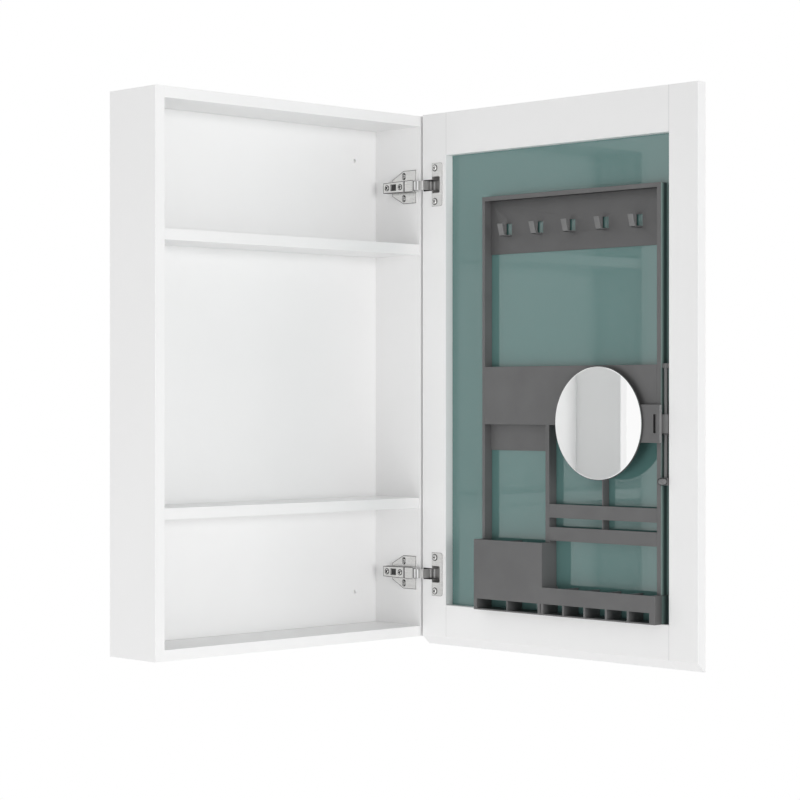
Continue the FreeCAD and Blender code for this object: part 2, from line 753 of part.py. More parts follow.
def make_frame():
    left = door_box("rack_left", (rack_left, bars_from), full_rack, (bin_top, rack_top))
    right = door_box("rack_right", (bars_to, rack_right), full_rack, (pen_top, rack_top))
    top = door_box("rack_top", (rack_left, rack_right), full_rack, (f"{rack_top} - rack_top_bar", rack_top))
    lug_n = ("rod_depth - lug_depth / 2", "rod_depth + lug_depth / 2")
    lug_u = (rack_right, f"{rack_right} + lug_reach")
    clip_n = ("rod_depth - clip_grip", "rod_depth - clip_grip + lug_depth")
    upper = door_box("rack_upper_clip", lug_u, clip_n, (f"{rod_top} - lug_height", rod_top))
    lower = door_box("rack_lower_lug", lug_u, lug_n, (rod_foot, f"{rod_foot} + foot_lug_height"))
    bore = door_bar("rack_rod_bore", "rod_radius + rod_fit", "rod_length", rod_u, "rod_depth", rod_foot, (0, 0, 1))
    thread = door_bar("rack_knob_thread", "knob_screw_radius + thread_play", "lug_depth / 2", rod_u,
                      "rod_depth - lug_depth / 2", f"{rod_foot} + foot_lug_height / 2", (1, 0, 0))
    keep("rack_frame", cut("rack_frame", join("rack_blank", [left, right, top, upper, lower]), [bore, thread]))


def make_hooks():
    foot = f"({rack_top} - rack_top_bar - hook_panel_height)"
    panel = door_box("hook_panel_sheet", (bars_from, bars_to), (rack_back_wall, recess),
                     (foot, f"{rack_top} - rack_top_bar"))
    hook_foot = f"({foot} + hook_level - hook_window / 2)"
    windows, hooks = [], []
    for index in range(5):
        middle = f"({rack_left} + rack_left_bar + hook_first + {index} * hook_pitch)"
        u = (f"{middle} - hook_width / 2", f"{middle} + hook_width / 2")
        windows.append(door_box(f"hook_window_{index}", u, (rack_back_wall, recess),
                                (hook_foot, f"{hook_foot} + hook_window")))
        tread_n = (f"{rack_back_wall} - hook_throat", recess)
        hooks.append(door_box(f"hook_tread_{index}", u, tread_n, (f"{hook_foot} - hook_leaf", hook_foot)))
        leaf = doc.addObject("Part::Box", f"hook_leaf_{index}")
        tie(leaf, "Length", "hook_leaf")
        tie(leaf, "Width", "hook_width")
        tie(leaf, "Height", "hook_window + hook_leaf")
        leaf.Placement = FreeCAD.Placement(FreeCAD.Vector(), FreeCAD.Rotation(FreeCAD.Vector(0, -1, 0), 1))
        tie(leaf, "Placement.Rotation.Angle", "hook_lean")
        hooks.append(place(leaf, (f"{inner_x} + {rack_back_wall} - hook_throat", f"{hinge_y} - ({u[1]})",
                                  f"{hook_foot} - hook_leaf")))
    sheet_cut = cut("hook_panel_cut", panel, windows)
    keep("hook_panel", join("hook_panel", [sheet_cut] + hooks))


def make_pocket():
    wall = (rack_front, f"{rack_front} + rack_wall")
    front = door_box("pocket_wall", (bars_from, bars_to), wall, (pocket_foot, pocket_top))
    floor = door_box("pocket_floor", (bars_from, bars_to), (rack_front, recess),
                     (pocket_foot, f"{pocket_foot} + rack_wall"))
    keep("pocket_front", join("pocket_front", [front, floor]))
    keep("pocket_back", door_box("pocket_back", (bars_from, post_from), (rack_back_wall, recess),
                                 (f"{pocket_foot} - pocket_back_drop", pocket_foot)))
    keep("tray_post", door_box("tray_post", (post_from, post_to), full_rack, (bin_top, pocket_foot)))


def make_trays():
    behind = f"({rack_front} + rack_wall)"
    levels = {"upper_tray": f"({recess_foot} + upper_tray_level)", "lower_tray": f"({recess_foot} + lower_tray_level)"}
    for name, foot in levels.items():
        front = door_box(name + "_front", (post_to, bars_to), (rack_front, behind), (foot, f"{foot} + tray_height"))
        floor = door_box(name + "_floor", (post_to, bars_to), (rack_front, recess), (foot, f"{foot} + rack_wall"))
        keep(name, join(name, [front, floor]))
    side = f"({rack_left} + divider_side)"
    across = (side, f"{side} + divider_wall")
    upper = door_box("divider_high", across, (behind, recess), (f"{levels['upper_tray']} + rack_wall", pocket_foot))
    lower = door_box("divider_low", across, (behind, recess),
                     (f"{levels['lower_tray']} + rack_wall", levels["upper_tray"]))
    keep("tray_dividers", group("tray_dividers", [upper, lower]))


def make_bin():
    bin_from = f"({rack_left} - bin_overhang)"
    bin_to = f"({bin_from} + bin_width)"
    pen_to = f"({rack_right} + bin_overhang)"
    front = f"({recess} - bin_depth)"
    inside = (f"{front} + rack_wall", recess)
    tall = door_box("bin_tall", (bin_from, bin_to), (front, recess), (recess_foot, bin_top))
    low = door_box("bin_low", (bin_to, pen_to), (front, recess), (recess_foot, pen_top))
    floor = f"{recess_foot} + bin_floor"
    cells = []

    def hollow_out(name, first, last, divider, count, top):
        # Equal cells between two walls, each with its own slot low in the front.
        width = f"(({last}) - ({first}) - {count - 1} * {divider}) / {count}"
        for index in range(count):
            start = f"({first} + {index} * ({width} + {divider}))"
            u = (start, f"{start} + {width}")
            cells.append(door_box(f"{name}_{index}", u, inside, (floor, top)))
            cells.append(door_box(f"{name}_slot_{index}", u, (front, recess), (floor, f"{floor} + bin_slot_height")))

    hollow_out("bin_cell", f"{bin_from} + bin_left_wall", f"{bin_to} - bin_right_wall", "bin_divider", 2, bin_top)
    hollow_out("pen_cell", f"{bin_to} + rack_wall", f"{pen_to} - pen_tray_end", "pen_divider", 5, pen_top)
    middle = f"({bin_to} - (bin_right_wall - rack_wall) / 2)"
    cells.append(door_box("bin_slit", (f"{middle} - bin_slit / 2", f"{middle} + bin_slit / 2"), (front, recess),
                          (floor, f"{floor} + bin_slot_height")))
    keep("storage_bin", cut("storage_bin", join("bin_blank", [tall, low]), cells))


def make_rack():
    make_frame()
    make_hooks()
    make_pocket()
    make_trays()
    make_bin()


# Shaving mirror: rod and knob on the rack, a sliding bush, and the mirror that swings on it.
sleeve_foot = f"({recess_foot} + sleeve_level - sleeve_height / 2)"
sleeve_top = f"({sleeve_foot} + sleeve_height)"
bush_radius = "(rod_radius + rod_fit + bush_wall)"
sleeve_bore = f"({bush_radius} + sleeve_play)"
sleeve_radius = f"({sleeve_bore} + sleeve_wall)"
foot_back = f"({rack_front} - tongue_clearance)"
bracket_back = f"({foot_back} - tongue_foot)"
bracket_front = f"({bracket_back} - bracket_thick)"
bracket_to = f"({rod_u} - bracket_end)"
bracket_from = f"({bracket_to} - bracket_length)"
slot_to = f"({bracket_to} - bracket_slot_inset)"
slot_from = f"({slot_to} - bracket_slot)"
mirror_level = f"({recess_foot} + sleeve_level)"
mirror_u = f"({rod_u} - mirror_reach)"


def make_rod():
    keep("mirror_rod", door_bar("mirror_rod", "rod_radius", "rod_length", rod_u, "rod_depth", rod_foot, (0, 0, 1)))
    tip = "(rod_depth - rod_radius)"
    seat = "(rod_depth - lug_depth / 2)"
    height = f"({tip} - {seat})"
    neck = "knob_screw_radius"
    dome = "(knob_length * 0.8)"
    corners = [("0", f"-{height}"), (neck, f"-{height}"), (neck, "0"), ("knob_radius", "0"),
               ("knob_radius", dome), ("knob_radius * 0.7", "knob_length"), ("0", "knob_length")]
    spot = (f"{inner_x} + {seat}", f"{hinge_y} - {rod_u}", f"{rod_foot} + foot_lug_height / 2")
    keep("rod_knob", turned("rod_knob", corners, spot, (-1, 0, 0)))


def make_bush():
    collar_foot = f"({sleeve_foot} - collar_play - bush_collar)"
    tube = door_bar("bush_tube", bush_radius, f"{sleeve_top} - {collar_foot}", rod_u, "rod_depth", collar_foot, (0, 0, 1))
    collar = door_bar("bush_collar", sleeve_radius, "bush_collar", rod_u, "rod_depth", collar_foot, (0, 0, 1))
    bore = door_bar("bush_bore", "rod_radius + rod_fit", f"{sleeve_top} - {collar_foot}", rod_u, "rod_depth",
                    collar_foot, (0, 0, 1))
    keep("slide_bush", cut("slide_bush", join("bush_blank", [tube, collar]), [bore]))


def make_sleeve():
    z = (sleeve_foot, sleeve_top)
    tube = door_bar("sleeve_tube", sleeve_radius, "sleeve_height", rod_u, "rod_depth", sleeve_foot, (0, 0, 1))
    half = "tongue_width / 2"
    web = door_box("sleeve_web", (f"{rod_u} - {half}", f"{rod_u} + {half}"), (bracket_back, "rod_depth"), z)
    foot = door_box("sleeve_foot", (slot_from, f"{rod_u} + {half}"), (bracket_back, foot_back), z)
    hook = door_box("sleeve_hook", (f"{slot_from} + slot_play", f"{slot_to} - slot_play"),
                    (f"{bracket_back} - slot_catch", bracket_back),
                    (f"{sleeve_foot} + slot_play", f"{sleeve_top} - slot_play"))
    bore = door_bar("sleeve_bore", sleeve_bore, "sleeve_height", rod_u, "rod_depth", sleeve_foot, (0, 0, 1))
    keep("mirror_sleeve", cut("mirror_sleeve", join("sleeve_blank", [tube, web, foot, hook]), [bore]))


def make_bracket():
    half = "bracket_height / 2"
    plate = door_box("bracket_blank", (bracket_from, bracket_to), (bracket_front, bracket_back),
                     (f"{mirror_level} - {half}", f"{mirror_level} + {half}"))
    slot = door_box("bracket_slot", (slot_from, slot_to), (bracket_front, bracket_back), (sleeve_foot, sleeve_top))
    keep("mirror_bracket", cut("mirror_bracket", plate, [slot]))


def make_shaving_mirror():
    inside = "(mirror_radius + glass_play)"
    rim = f"({inside} + case_rim)"
    lip = "(case_wall + case_lip)"
    spot = (f"{inner_x} + {bracket_front}", f"{hinge_y} - {mirror_u}", mirror_level)
    corners = [("0", "0"), (rim, "0"), (rim, lip), (inside, lip), (inside, "case_wall"), ("0", "case_wall")]
    keep("mirror_case", turned("mirror_case", corners, spot, (-1, 0, 0)))
    keep("shaving_mirror", door_bar("shaving_mirror", "mirror_radius", "mirror_glass", mirror_u,
                                    f"({bracket_front} - case_wall)", mirror_level, (-1, 0, 0)))


make_carcass()
make_hinges()
make_door()
make_rack()
make_rod()
make_bush()
make_sleeve()
make_bracket()
make_shaving_mirror()
doc.recompute()

for item in doc.Objects:
    faults = [word for word in item.State if word in ("Invalid", "Error")]
    if faults:
        raise RuntimeError(f"{item.Label}: {faults}")

os.makedirs("parts", exist_ok=True)
for name, piece in nodes.items():
    shape = piece.Shape
    if shape.isNull() or not shape.isValid():
        raise RuntimeError(f"{name}: its shape is missing or not valid")
    shape.exportStep(f"parts/{name}.step")
    limits = shape.BoundBox
    print(f"{name}: {len(shape.Solids)} solids, {shape.Volume:.0f} mm3,"
          f" x {limits.XMin:.1f} to {limits.XMax:.1f}, y {limits.YMin:.1f} to {limits.YMax:.1f},"
          f" z {limits.ZMin:.1f} to {limits.ZMax:.1f}")
print(f"{len(nodes)} nodes")
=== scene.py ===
import bpy
import bmesh
import json
import math
from mathutils import Matrix, Vector

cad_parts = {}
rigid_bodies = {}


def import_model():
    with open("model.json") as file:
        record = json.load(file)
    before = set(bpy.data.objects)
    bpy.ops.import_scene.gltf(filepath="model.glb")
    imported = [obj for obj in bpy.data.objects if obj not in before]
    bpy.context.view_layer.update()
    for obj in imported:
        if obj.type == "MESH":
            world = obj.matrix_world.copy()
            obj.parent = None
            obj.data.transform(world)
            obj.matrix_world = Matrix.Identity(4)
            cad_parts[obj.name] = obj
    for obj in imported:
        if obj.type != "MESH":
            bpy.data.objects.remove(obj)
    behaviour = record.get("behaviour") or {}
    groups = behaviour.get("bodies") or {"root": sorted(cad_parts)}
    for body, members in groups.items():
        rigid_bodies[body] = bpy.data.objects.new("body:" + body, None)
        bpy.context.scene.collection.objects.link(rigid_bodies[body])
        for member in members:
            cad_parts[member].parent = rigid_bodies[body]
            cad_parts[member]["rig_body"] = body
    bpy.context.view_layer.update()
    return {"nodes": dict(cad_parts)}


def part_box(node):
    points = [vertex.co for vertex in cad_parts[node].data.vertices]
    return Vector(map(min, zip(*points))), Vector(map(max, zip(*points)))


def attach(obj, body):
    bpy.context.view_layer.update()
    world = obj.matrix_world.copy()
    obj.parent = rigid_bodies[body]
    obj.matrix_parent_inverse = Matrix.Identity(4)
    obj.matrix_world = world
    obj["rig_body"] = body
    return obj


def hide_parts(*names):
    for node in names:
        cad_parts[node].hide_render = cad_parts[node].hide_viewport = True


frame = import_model()
nodes = frame["nodes"]
scene = bpy.context.scene
scene.view_settings.view_transform = "Standard"
print("frame:", len(nodes), "nodes")


# node trees

def addNode(tree, kind, **values):
    node = tree.nodes.new(kind)
    for name, value in values.items():
        setattr(node, name, value)
    return node


def feed(tree, source, target):
    tree.links.new(source, target)


def mathNode(tree, operation, first, second=None):
    node = addNode(tree, "ShaderNodeMath", operation=operation)
    for index, value in enumerate((first, second)):
        if value is None:
            continue
        if isinstance(value, (int, float)):
            node.inputs[index].default_value = value
        else:
            feed(tree, value, node.inputs[index])
    return node.outputs[0]


def startGroup(name, kind, inputs, outputs):
    tree = bpy.data.node_groups.new(name, kind)
    for label, socket, value in inputs:
        made = tree.interface.new_socket(name=label, in_out="INPUT", socket_type=socket)
        if value is not None:
            made.default_value = value
    for label, socket in outputs:
        tree.interface.new_socket(name=label, in_out="OUTPUT", socket_type=socket)
    return tree, addNode(tree, "NodeGroupInput"), addNode(tree, "NodeGroupOutput")


def noiseFrom(tree, vector, scale, detail=2.0, roughness=0.5):
    noise = addNode(tree, "ShaderNodeTexNoise")
    noise.inputs["Detail"].default_value = detail
    noise.inputs["Roughness"].default_value = roughness
    feed(tree, vector, noise.inputs["Vector"])
    if isinstance(scale, (int, float)):
        noise.inputs["Scale"].default_value = scale
    else:
        feed(tree, scale, noise.inputs["Scale"])
    return noise.outputs["Fac"]


def makeMottle():
    # slow cloudiness and fine tooth of a sprayed or moulded skin
    tree, given, out = startGroup(
        "skinMottle", "ShaderNodeTree",
        [("Cloud Scale", "NodeSocketFloat", 9.0), ("Tooth Scale", "NodeSocketFloat", 700.0)],
        [("Cloud", "NodeSocketFloat"), ("Tooth", "NodeSocketFloat")])
    coord = addNode(tree, "ShaderNodeTexCoord").outputs["Object"]
    cloud = noiseFrom(tree, coord, given.outputs["Cloud Scale"], detail=3.0)
    tooth = noiseFrom(tree, coord, given.outputs["Tooth Scale"], roughness=0.6)
    feed(tree, cloud, out.inputs["Cloud"])
    feed(tree, tooth, out.inputs["Tooth"])
    return tree


def makeStreaks():
    # long drawn lines of rolled or brushed metal and of wood grain
    tree, given, out = startGroup(
        "drawnStreaks", "ShaderNodeTree",
        [("Along", "NodeSocketVector", (1.0, 1.0, 1.0)), ("Scale", "NodeSocketFloat", 300.0)],
        [("Streak", "NodeSocketFloat")])
    coord = addNode(tree, "ShaderNodeTexCoord").outputs["Object"]
    stretch = addNode(tree, "ShaderNodeVectorMath", operation="MULTIPLY")
    feed(tree, coord, stretch.inputs[0])
    feed(tree, given.outputs["Along"], stretch.inputs[1])
    streak = noiseFrom(tree, stretch.outputs[0], given.outputs["Scale"], detail=3.0, roughness=0.55)
    feed(tree, streak, out.inputs["Streak"])
    return tree


def makeSmudge():
    # faint wiped film on glass and gloss
    tree, given, out = startGroup(
        "wipedFilm", "ShaderNodeTree", [("Scale", "NodeSocketFloat", 14.0)], [("Film", "NodeSocketFloat")])
    coord = addNode(tree, "ShaderNodeTexCoord").outputs["Object"]
    broad = noiseFrom(tree, coord, given.outputs["Scale"], detail=4.0, roughness=0.55)
    feed(tree, mathNode(tree, "POWER", broad, 3.0), out.inputs["Film"])  # most of the pane stays clear
    return tree


skinMottle = makeMottle()
drawnStreaks = makeStreaks()
wipedFilm = makeSmudge()


# materials

blendSpan = (0.3, 0.7)  # noise levels where a finish is wholly its darker or its lighter tone


def newMaterial(name, **sockets):
    material = bpy.data.materials.new(name)
    material.use_nodes = True
    shader = material.node_tree.nodes["Principled BSDF"]
    for label, value in sockets.items():
        shader.inputs[label.replace("_", " ")].default_value = value
    return material, material.node_tree, shader


def place(tree, group, **values):
    node = addNode(tree, "ShaderNodeGroup", node_tree=group)
    for label, value in values.items():
        node.inputs[label.replace("_", " ")].default_value = value
    return node


def blendColour(tree, factor, low, high, shader):
    ramp = addNode(tree, "ShaderNodeValToRGB")
    for stop, position, colour in zip(ramp.color_ramp.elements, blendSpan, (low, high)):
        stop.position = position
        stop.color = (*colour, 1.0)
    feed(tree, factor, ramp.inputs["Fac"])
    feed(tree, ramp.outputs["Color"], shader.inputs["Base Color"])


def spread(tree, factor, low, high, target):
    span = addNode(tree, "ShaderNodeMapRange")
    span.inputs["To Min"].default_value = low
    span.inputs["To Max"].default_value = high
    feed(tree, factor, span.inputs["Value"])
    feed(tree, span.outputs["Result"], target)


def addBump(tree, height, depth, strength, shader):
    bump = addNode(tree, "ShaderNodeBump")
    bump.inputs["Distance"].default_value = depth
    bump.inputs["Strength"].default_value = strength
    feed(tree, height, bump.inputs["Height"])
    feed(tree, bump.outputs["Normal"], shader.inputs["Normal"])


def skinFinish(name, low, high, rough, cloud, tooth, depth, strength, **sockets):
    material, tree, shader = newMaterial(name, **sockets)
    skin = place(tree, skinMottle, Cloud_Scale=cloud, Tooth_Scale=tooth)
    blendColour(tree, skin.outputs["Cloud"], low, high, shader)
    spread(tree, skin.outputs["Tooth"], *rough, shader.inputs["Roughness"])
    addBump(tree, skin.outputs["Tooth"], depth, strength, shader)
    return material


def metalFinish(name, low, high, rough, along, scale, depth, metallic=1.0, strength=0.2):
    material, tree, shader = newMaterial(name, Metallic=metallic)
    drawn = place(tree, drawnStreaks, Along=along, Scale=scale)
    blendColour(tree, drawn.outputs["Streak"], low, high, shader)
    spread(tree, drawn.outputs["Streak"], *rough, shader.inputs["Roughness"])
    addBump(tree, drawn.outputs["Streak"], depth, strength, shader)
    return material


def glossFinish(name, low, high, rough, scale, **sockets):
    material, tree, shader = newMaterial(name, **sockets)
    film = place(tree, wipedFilm, Scale=scale)
    blendColour(tree, film.outputs["Film"], low, high, shader)
    spread(tree, film.outputs["Film"], *rough, shader.inputs["Roughness"])
    return material


def lacquerFinish(name, low, high):
    return skinFinish(name, low, high, (0.34, 0.44), 7.0, 520.0, 0.00005, 0.18, Coat_Weight=0.12,
                      Coat_Roughness=0.25)


def mouldingFinish(name, low, high, rough=(0.46, 0.58)):
    return skinFinish(name, low, high, rough, 22.0, 1500.0, 0.00008, 0.25)


def grey(tone):
    return (tone, tone, tone)


whiteLacquer = lacquerFinish("whiteLacquer", (0.930, 0.929, 0.928), (0.945, 0.944, 0.943))
railLacquer = lacquerFinish("railLacquer", (0.930, 0.929, 0.928), (0.945, 0.944, 0.943))
shadedEdgeLacquer = lacquerFinish("shadedEdgeLacquer", grey(0.885), grey(0.897))
greyMoulding = mouldingFinish("greyMoulding", (0.118, 0.118, 0.119), (0.134, 0.134, 0.135))
litMoulding = mouldingFinish("litMoulding", (0.165, 0.165, 0.166), (0.185, 0.185, 0.186), (0.40, 0.52))
shadeRimMoulding = mouldingFinish("shadeRimMoulding", (0.050, 0.050, 0.051), (0.060, 0.060, 0.061))
recessShadeSheet = mouldingFinish("recessShadeSheet", (0.098, 0.098, 0.099), (0.108, 0.108, 0.109))
highlightMoulding = skinFinish("highlightMoulding", (0.25, 0.25, 0.251), (0.28, 0.28, 0.281), (0.30, 0.40),
                              22.0, 1500.0, 0.00004, 0.2)
blackNylonAndShade = skinFinish("blackNylonAndShade", (0.030, 0.030, 0.031), (0.040, 0.040, 0.041), (0.38, 0.46),
                        40.0, 1800.0, 0.00004, 0.2)
shadowSteel = skinFinish("shadowSteel", grey(0.016), grey(0.022), (0.40, 0.50), 30.0, 1500.0, 0.00004, 0.2)
tealBacking = glossFinish("tealBacking", (0.104, 0.216, 0.205), (0.112, 0.228, 0.217), (0.015, 0.05), 5.0,
                          IOR=1.92)
silveredGlass = glossFinish("silveredGlass", grey(0.96), grey(0.98), (0.008, 0.03), 6.0, Metallic=1.0)
glassEdge = glossFinish("glassEdge", (0.42, 0.56, 0.52), (0.50, 0.63, 0.59), (0.10, 0.18), 60.0)
nickelPlate = metalFinish("nickelPlate", (0.71, 0.705, 0.695), (0.75, 0.745, 0.735), (0.24, 0.32),
                          (1.0, 0.05, 1.0), 1600.0, 0.000006)
highlightNickel = metalFinish("highlightNickel", (0.94, 0.94, 0.935), (0.97, 0.97, 0.965), (0.20, 0.28),
                           (1.0, 0.05, 1.0), 1600.0, 0.000004, metallic=0.3)
gooseneckSteel = metalFinish("gooseneckSteel", (0.42, 0.417, 0.412), (0.48, 0.476, 0.47), (0.30, 0.40),
                             (1.0, 1.0, 0.1), 1400.0, 0.000006, metallic=0.3)
outlineShadeSteel = metalFinish("outlineShadeSteel", (0.07, 0.07, 0.069), (0.10, 0.099, 0.097), (0.30, 0.40),
                        (1.0, 0.05, 1.0), 1600.0, 0.000006)
darkSteelAndShade = metalFinish("darkSteelAndShade", (0.045, 0.045, 0.046), (0.075, 0.074, 0.073), (0.36, 0.5),
                        (1.0, 1.0, 0.15), 600.0, 0.00003)
cupSteel = metalFinish("cupSteel", (0.30, 0.297, 0.292), (0.36, 0.356, 0.35), (0.34, 0.44),
                       (1.0, 1.0, 0.15), 1200.0, 0.000006, metallic=0.3)
beechDowel = metalFinish("beechDowel", (0.46, 0.30, 0.16), (0.60, 0.42, 0.25), (0.5, 0.65),
                         (0.06, 1.0, 1.0), 900.0, 0.00005, metallic=0.0)


def addBands(material, axis, start, end, stops):
    # lays bands of tone over a finish along one axis; each stop is position, colour, share
    tree = material.node_tree
    shader = tree.nodes["Principled BSDF"]
    plain = shader.inputs["Base Color"].links[0].from_socket
    coord = addNode(tree, "ShaderNodeTexCoord")
    split = addNode(tree, "ShaderNodeSeparateXYZ")
    feed(tree, coord.outputs["Object"], split.inputs[0])
    span = addNode(tree, "ShaderNodeMapRange")
    span.inputs["From Min"].default_value = start
    span.inputs["From Max"].default_value = end
    feed(tree, split.outputs[axis], span.inputs["Value"])
    ramp = addNode(tree, "ShaderNodeValToRGB")
    for index, (position, colour, share) in enumerate(stops):  # a new ramp already has two stops
        stop = ramp.color_ramp.elements[index] if index < 2 else ramp.color_ramp.elements.new(position)
        stop.position = position
        stop.color = (*colour, share)
    feed(tree, span.outputs["Result"], ramp.inputs["Fac"])
    mix = addNode(tree, "ShaderNodeMix", data_type="RGBA")
    feed(tree, ramp.outputs["Alpha"], mix.inputs["Factor"])
    feed(tree, plain, mix.inputs[6])  # 6 and 7 are its two colours, 2 the mixed one
    feed(tree, ramp.outputs["Color"], mix.inputs[7])
    feed(tree, mix.outputs[2], shader.inputs["Base Color"])


# painted highlights across the neck at the mouth of the arm, standing for bright rolled edges, with a painted
# dark line between them
neckPaintedBands = {
    "from": -0.094, "to": -0.106,
    "stops": [(0.0, grey(0.2), 0.9), (1.0, grey(0.35), 0.0), (0.16, grey(0.2), 0.9),
              (0.20, grey(0.97), 1.0), (0.40, grey(0.97), 1.0), (0.45, grey(0.06), 1.0),
              (0.57, grey(0.06), 1.0), (0.62, grey(0.97), 1.0), (0.86, grey(0.97), 1.0),
              (0.92, grey(0.35), 0.0)],
}
addBands(gooseneckSteel, "Y", neckPaintedBands["from"], neckPaintedBands["to"], neckPaintedBands["stops"])
print("materials ready")


# pieces from the solids

meshLimits = {"weld": 0.000005, "coplanar": math.radians(0.6), "edgeTurn": math.radians(35),
              "smoothTurn": math.radians(30), "arrisSteps": 2, "rimArea": 0.000005}
flush, nearFlush = 0.95, 0.9  # least normal along an axis for a face to count as square to it


def pieceName(node):
    first, *rest = node.split("_")
    return first + "".join(word.capitalize() for word in rest)


def newPiece(mesh, node):
    # a visible piece that stands in for one solid and moves with its body
    piece = bpy.data.objects.new(pieceName(node), mesh)
    scene.collection.objects.link(piece)
    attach(piece, nodes[node]["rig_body"])
    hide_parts(node)
    return piece


def cleanCopy(node):
    shape = bmesh.new()
    shape.from_mesh(nodes[node].data)
    bmesh.ops.remove_doubles(shape, verts=shape.verts, dist=meshLimits["weld"])
    bmesh.ops.dissolve_limit(shape, angle_limit=meshLimits["coplanar"], verts=shape.verts, edges=shape.edges)
    return shape


def bakeModifiers(piece):
    graph = bpy.context.evaluated_depsgraph_get()
    graph.update()
    baked = bpy.data.meshes.new_from_object(piece.evaluated_get(graph))
    piece.modifiers.clear()
    piece.data = baked
    return piece


def softenEdges(shape, name, width, shortest, curved):
    # rounds the long outer edges only, so holes and small features stay crisp
    mesh = bpy.data.meshes.new(name)
    weights = [1.0 if len(edge.link_faces) == 2 and edge.is_convex and edge.calc_length() > shortest
               and edge.calc_face_angle() > meshLimits["edgeTurn"] else 0.0 for edge in shape.edges]
    for face in shape.faces:
        face.smooth = curved
    shape.edges.index_update()
    shape.to_mesh(mesh)
    shape.free()
    layer = mesh.attributes.new("bevel_weight_edge", "FLOAT", "EDGE")
    layer.data.foreach_set("value", weights)
    if curved:
        mesh.set_sharp_from_angle(angle=meshLimits["smoothTurn"])
    holder = bpy.data.objects.new(name + "Holder", mesh)
    scene.collection.objects.link(holder)
    bevel = holder.modifiers.new("soften", "BEVEL")
    bevel.width = width
    bevel.segments = meshLimits["arrisSteps"]
    bevel.limit_method = "WEIGHT"
    bevel.use_clamp_overlap = False
    if curved:
        weigh = holder.modifiers.new("weigh", "WEIGHTED_NORMAL")  # broad faces stay flat beside rounded edges
        weigh.keep_sharp = True
    bakeModifiers(holder)
    made = holder.data
    bpy.data.objects.remove(holder)
    made.name = name
    return made


def soften(node, material, width, shortest, curved=True, rim=0.0, deepest=0.0):
    name = pieceName(node)
    shape = cleanCopy(node)
    for face in shape.faces:
        face.material_index = 0
    if rim:  # painted shade: a dark border on the foremost faces that look into the cabinet, standing for the shaded outline of the edges
        flats = [face for face in shape.faces if face.normal.x < -nearFlush
                 and face.calc_center_median().x < deepest and face.calc_area() > meshLimits["rimArea"]]
        for face in bmesh.ops.inset_region(shape, faces=flats, thickness=rim, use_boundary=True,
                                           use_even_offset=True)["faces"]:
            face.material_index = 1
    mesh = softenEdges(shape, name, width, shortest, curved)
    mesh.materials.append(material)
    if rim:
        mesh.materials.append(outlineShadeSteel)
    return newPiece(mesh, node)


def tint(piece, material, test):
    # gives another finish to the faces that pass the test
    piece.data.materials.append(material)
    for face in piece.data.polygons:
        if test(face):
            face.material_index = len(piece.data.materials) - 1


def paint(node, material):
    mesh = nodes[node].data
    mesh.materials.clear()
    mesh.materials.append(material)


cabinetBoards = {
    "nodes": ["left_side_panel", "right_side_panel", "top_panel", "bottom_panel", "back_panel", "upper_shelf",
              "lower_shelf", "hinge_stile", "free_stile", "top_rail", "bottom_rail"],
    "arris": 0.00035, "shortest": 0.012, "pullSlope": 0.3, "plainTone": 0.93, "jointTone": 0.6,
    "jointWidth": 0.0020, "jointFade": 0.0001,
}


def addJointLine(spec):
    # the thin shadow line where a rail butts against the stiles
    low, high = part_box("top_rail")
    dark, clear = (grey(spec["jointTone"]), 1.0), (grey(spec["plainTone"]), 0.0)
    inner, outer = spec["jointWidth"], spec["jointWidth"] + spec["jointFade"]
    addBands(railLacquer, "Y", low.y, high.y, [(0.0, *dark), (1.0, *dark), (inner, *dark), (outer, *clear),
                                               (1.0 - outer, *clear), (1.0 - inner, *dark)])


def buildBoards(spec):
    made = {}
    for board in spec["nodes"]:
        made[board] = soften(board, railLacquer if board.endswith("rail") else whiteLacquer, spec["arris"],
                             spec["shortest"], curved=False)
    # the finger pull along the bottom shows no joint line
    tint(made["bottom_rail"], whiteLacquer, lambda face: face.normal.z < -spec["pullSlope"])
    # painted shade: the free stile's outward edge is a shade duller than its faces
    tint(made["free_stile"], shadedEdgeLacquer, lambda face: face.normal.y < -nearFlush)


addJointLine(cabinetBoards)
buildBoards(cabinetBoards)
for dowels in ("corner_dowels", "shelf_dowels", "door_dowels"):
    paint(dowels, beechDowel)
print("boards done")


doorGlass = {"edge": 0.0008, "shortest": 0.02}
soften("door_mirror", silveredGlass, doorGlass["edge"], doorGlass["shortest"], curved=False)
paint("mirror_backing", tealBacking)
print("door glass done")


rackMoulding = {
    "nodes": ["rack_frame", "pocket_front", "pocket_back", "tray_post", "tray_dividers", "upper_tray",
              "lower_tray", "storage_bin", "mirror_bracket"],
    "arris": 0.00035, "shortest": 0.0035, "lugReach": 0.0115, "railTop": 0.02, "binFloor": 0.006,
    "paintedSheenReach": 0.0004, "endFace": 0.0005, "arrisTurn": 0.3, "slotFrom": 0.004, "slotTo": 0.012,
    "slotEnd": 0.01, "wallTurn": 0.5,
    "railSheen": [(0.0, (0.26, 0.36, 0.34), 1.0), (1.0, (0.30, 0.41, 0.39), 1.0),
                  (0.10, (0.26, 0.36, 0.34), 1.0), (0.45, (0.10, 0.15, 0.14), 1.0),
                  (0.52, (0.05, 0.07, 0.07), 1.0), (0.78, (0.05, 0.07, 0.07), 1.0),
                  (0.88, (0.30, 0.41, 0.39), 1.0)],
    "binSheen": [(0.0, grey(0.10), 1.0), (1.0, (0.30, 0.41, 0.39), 1.0), (0.44, grey(0.09), 1.0),
                 (0.48, (0.10, 0.15, 0.14), 1.0), (0.70, (0.09, 0.13, 0.12), 1.0),
                 (0.74, (0.05, 0.07, 0.07), 1.0), (0.88, (0.05, 0.07, 0.07), 1.0),
                 (0.93, (0.30, 0.41, 0.39), 1.0)],
}


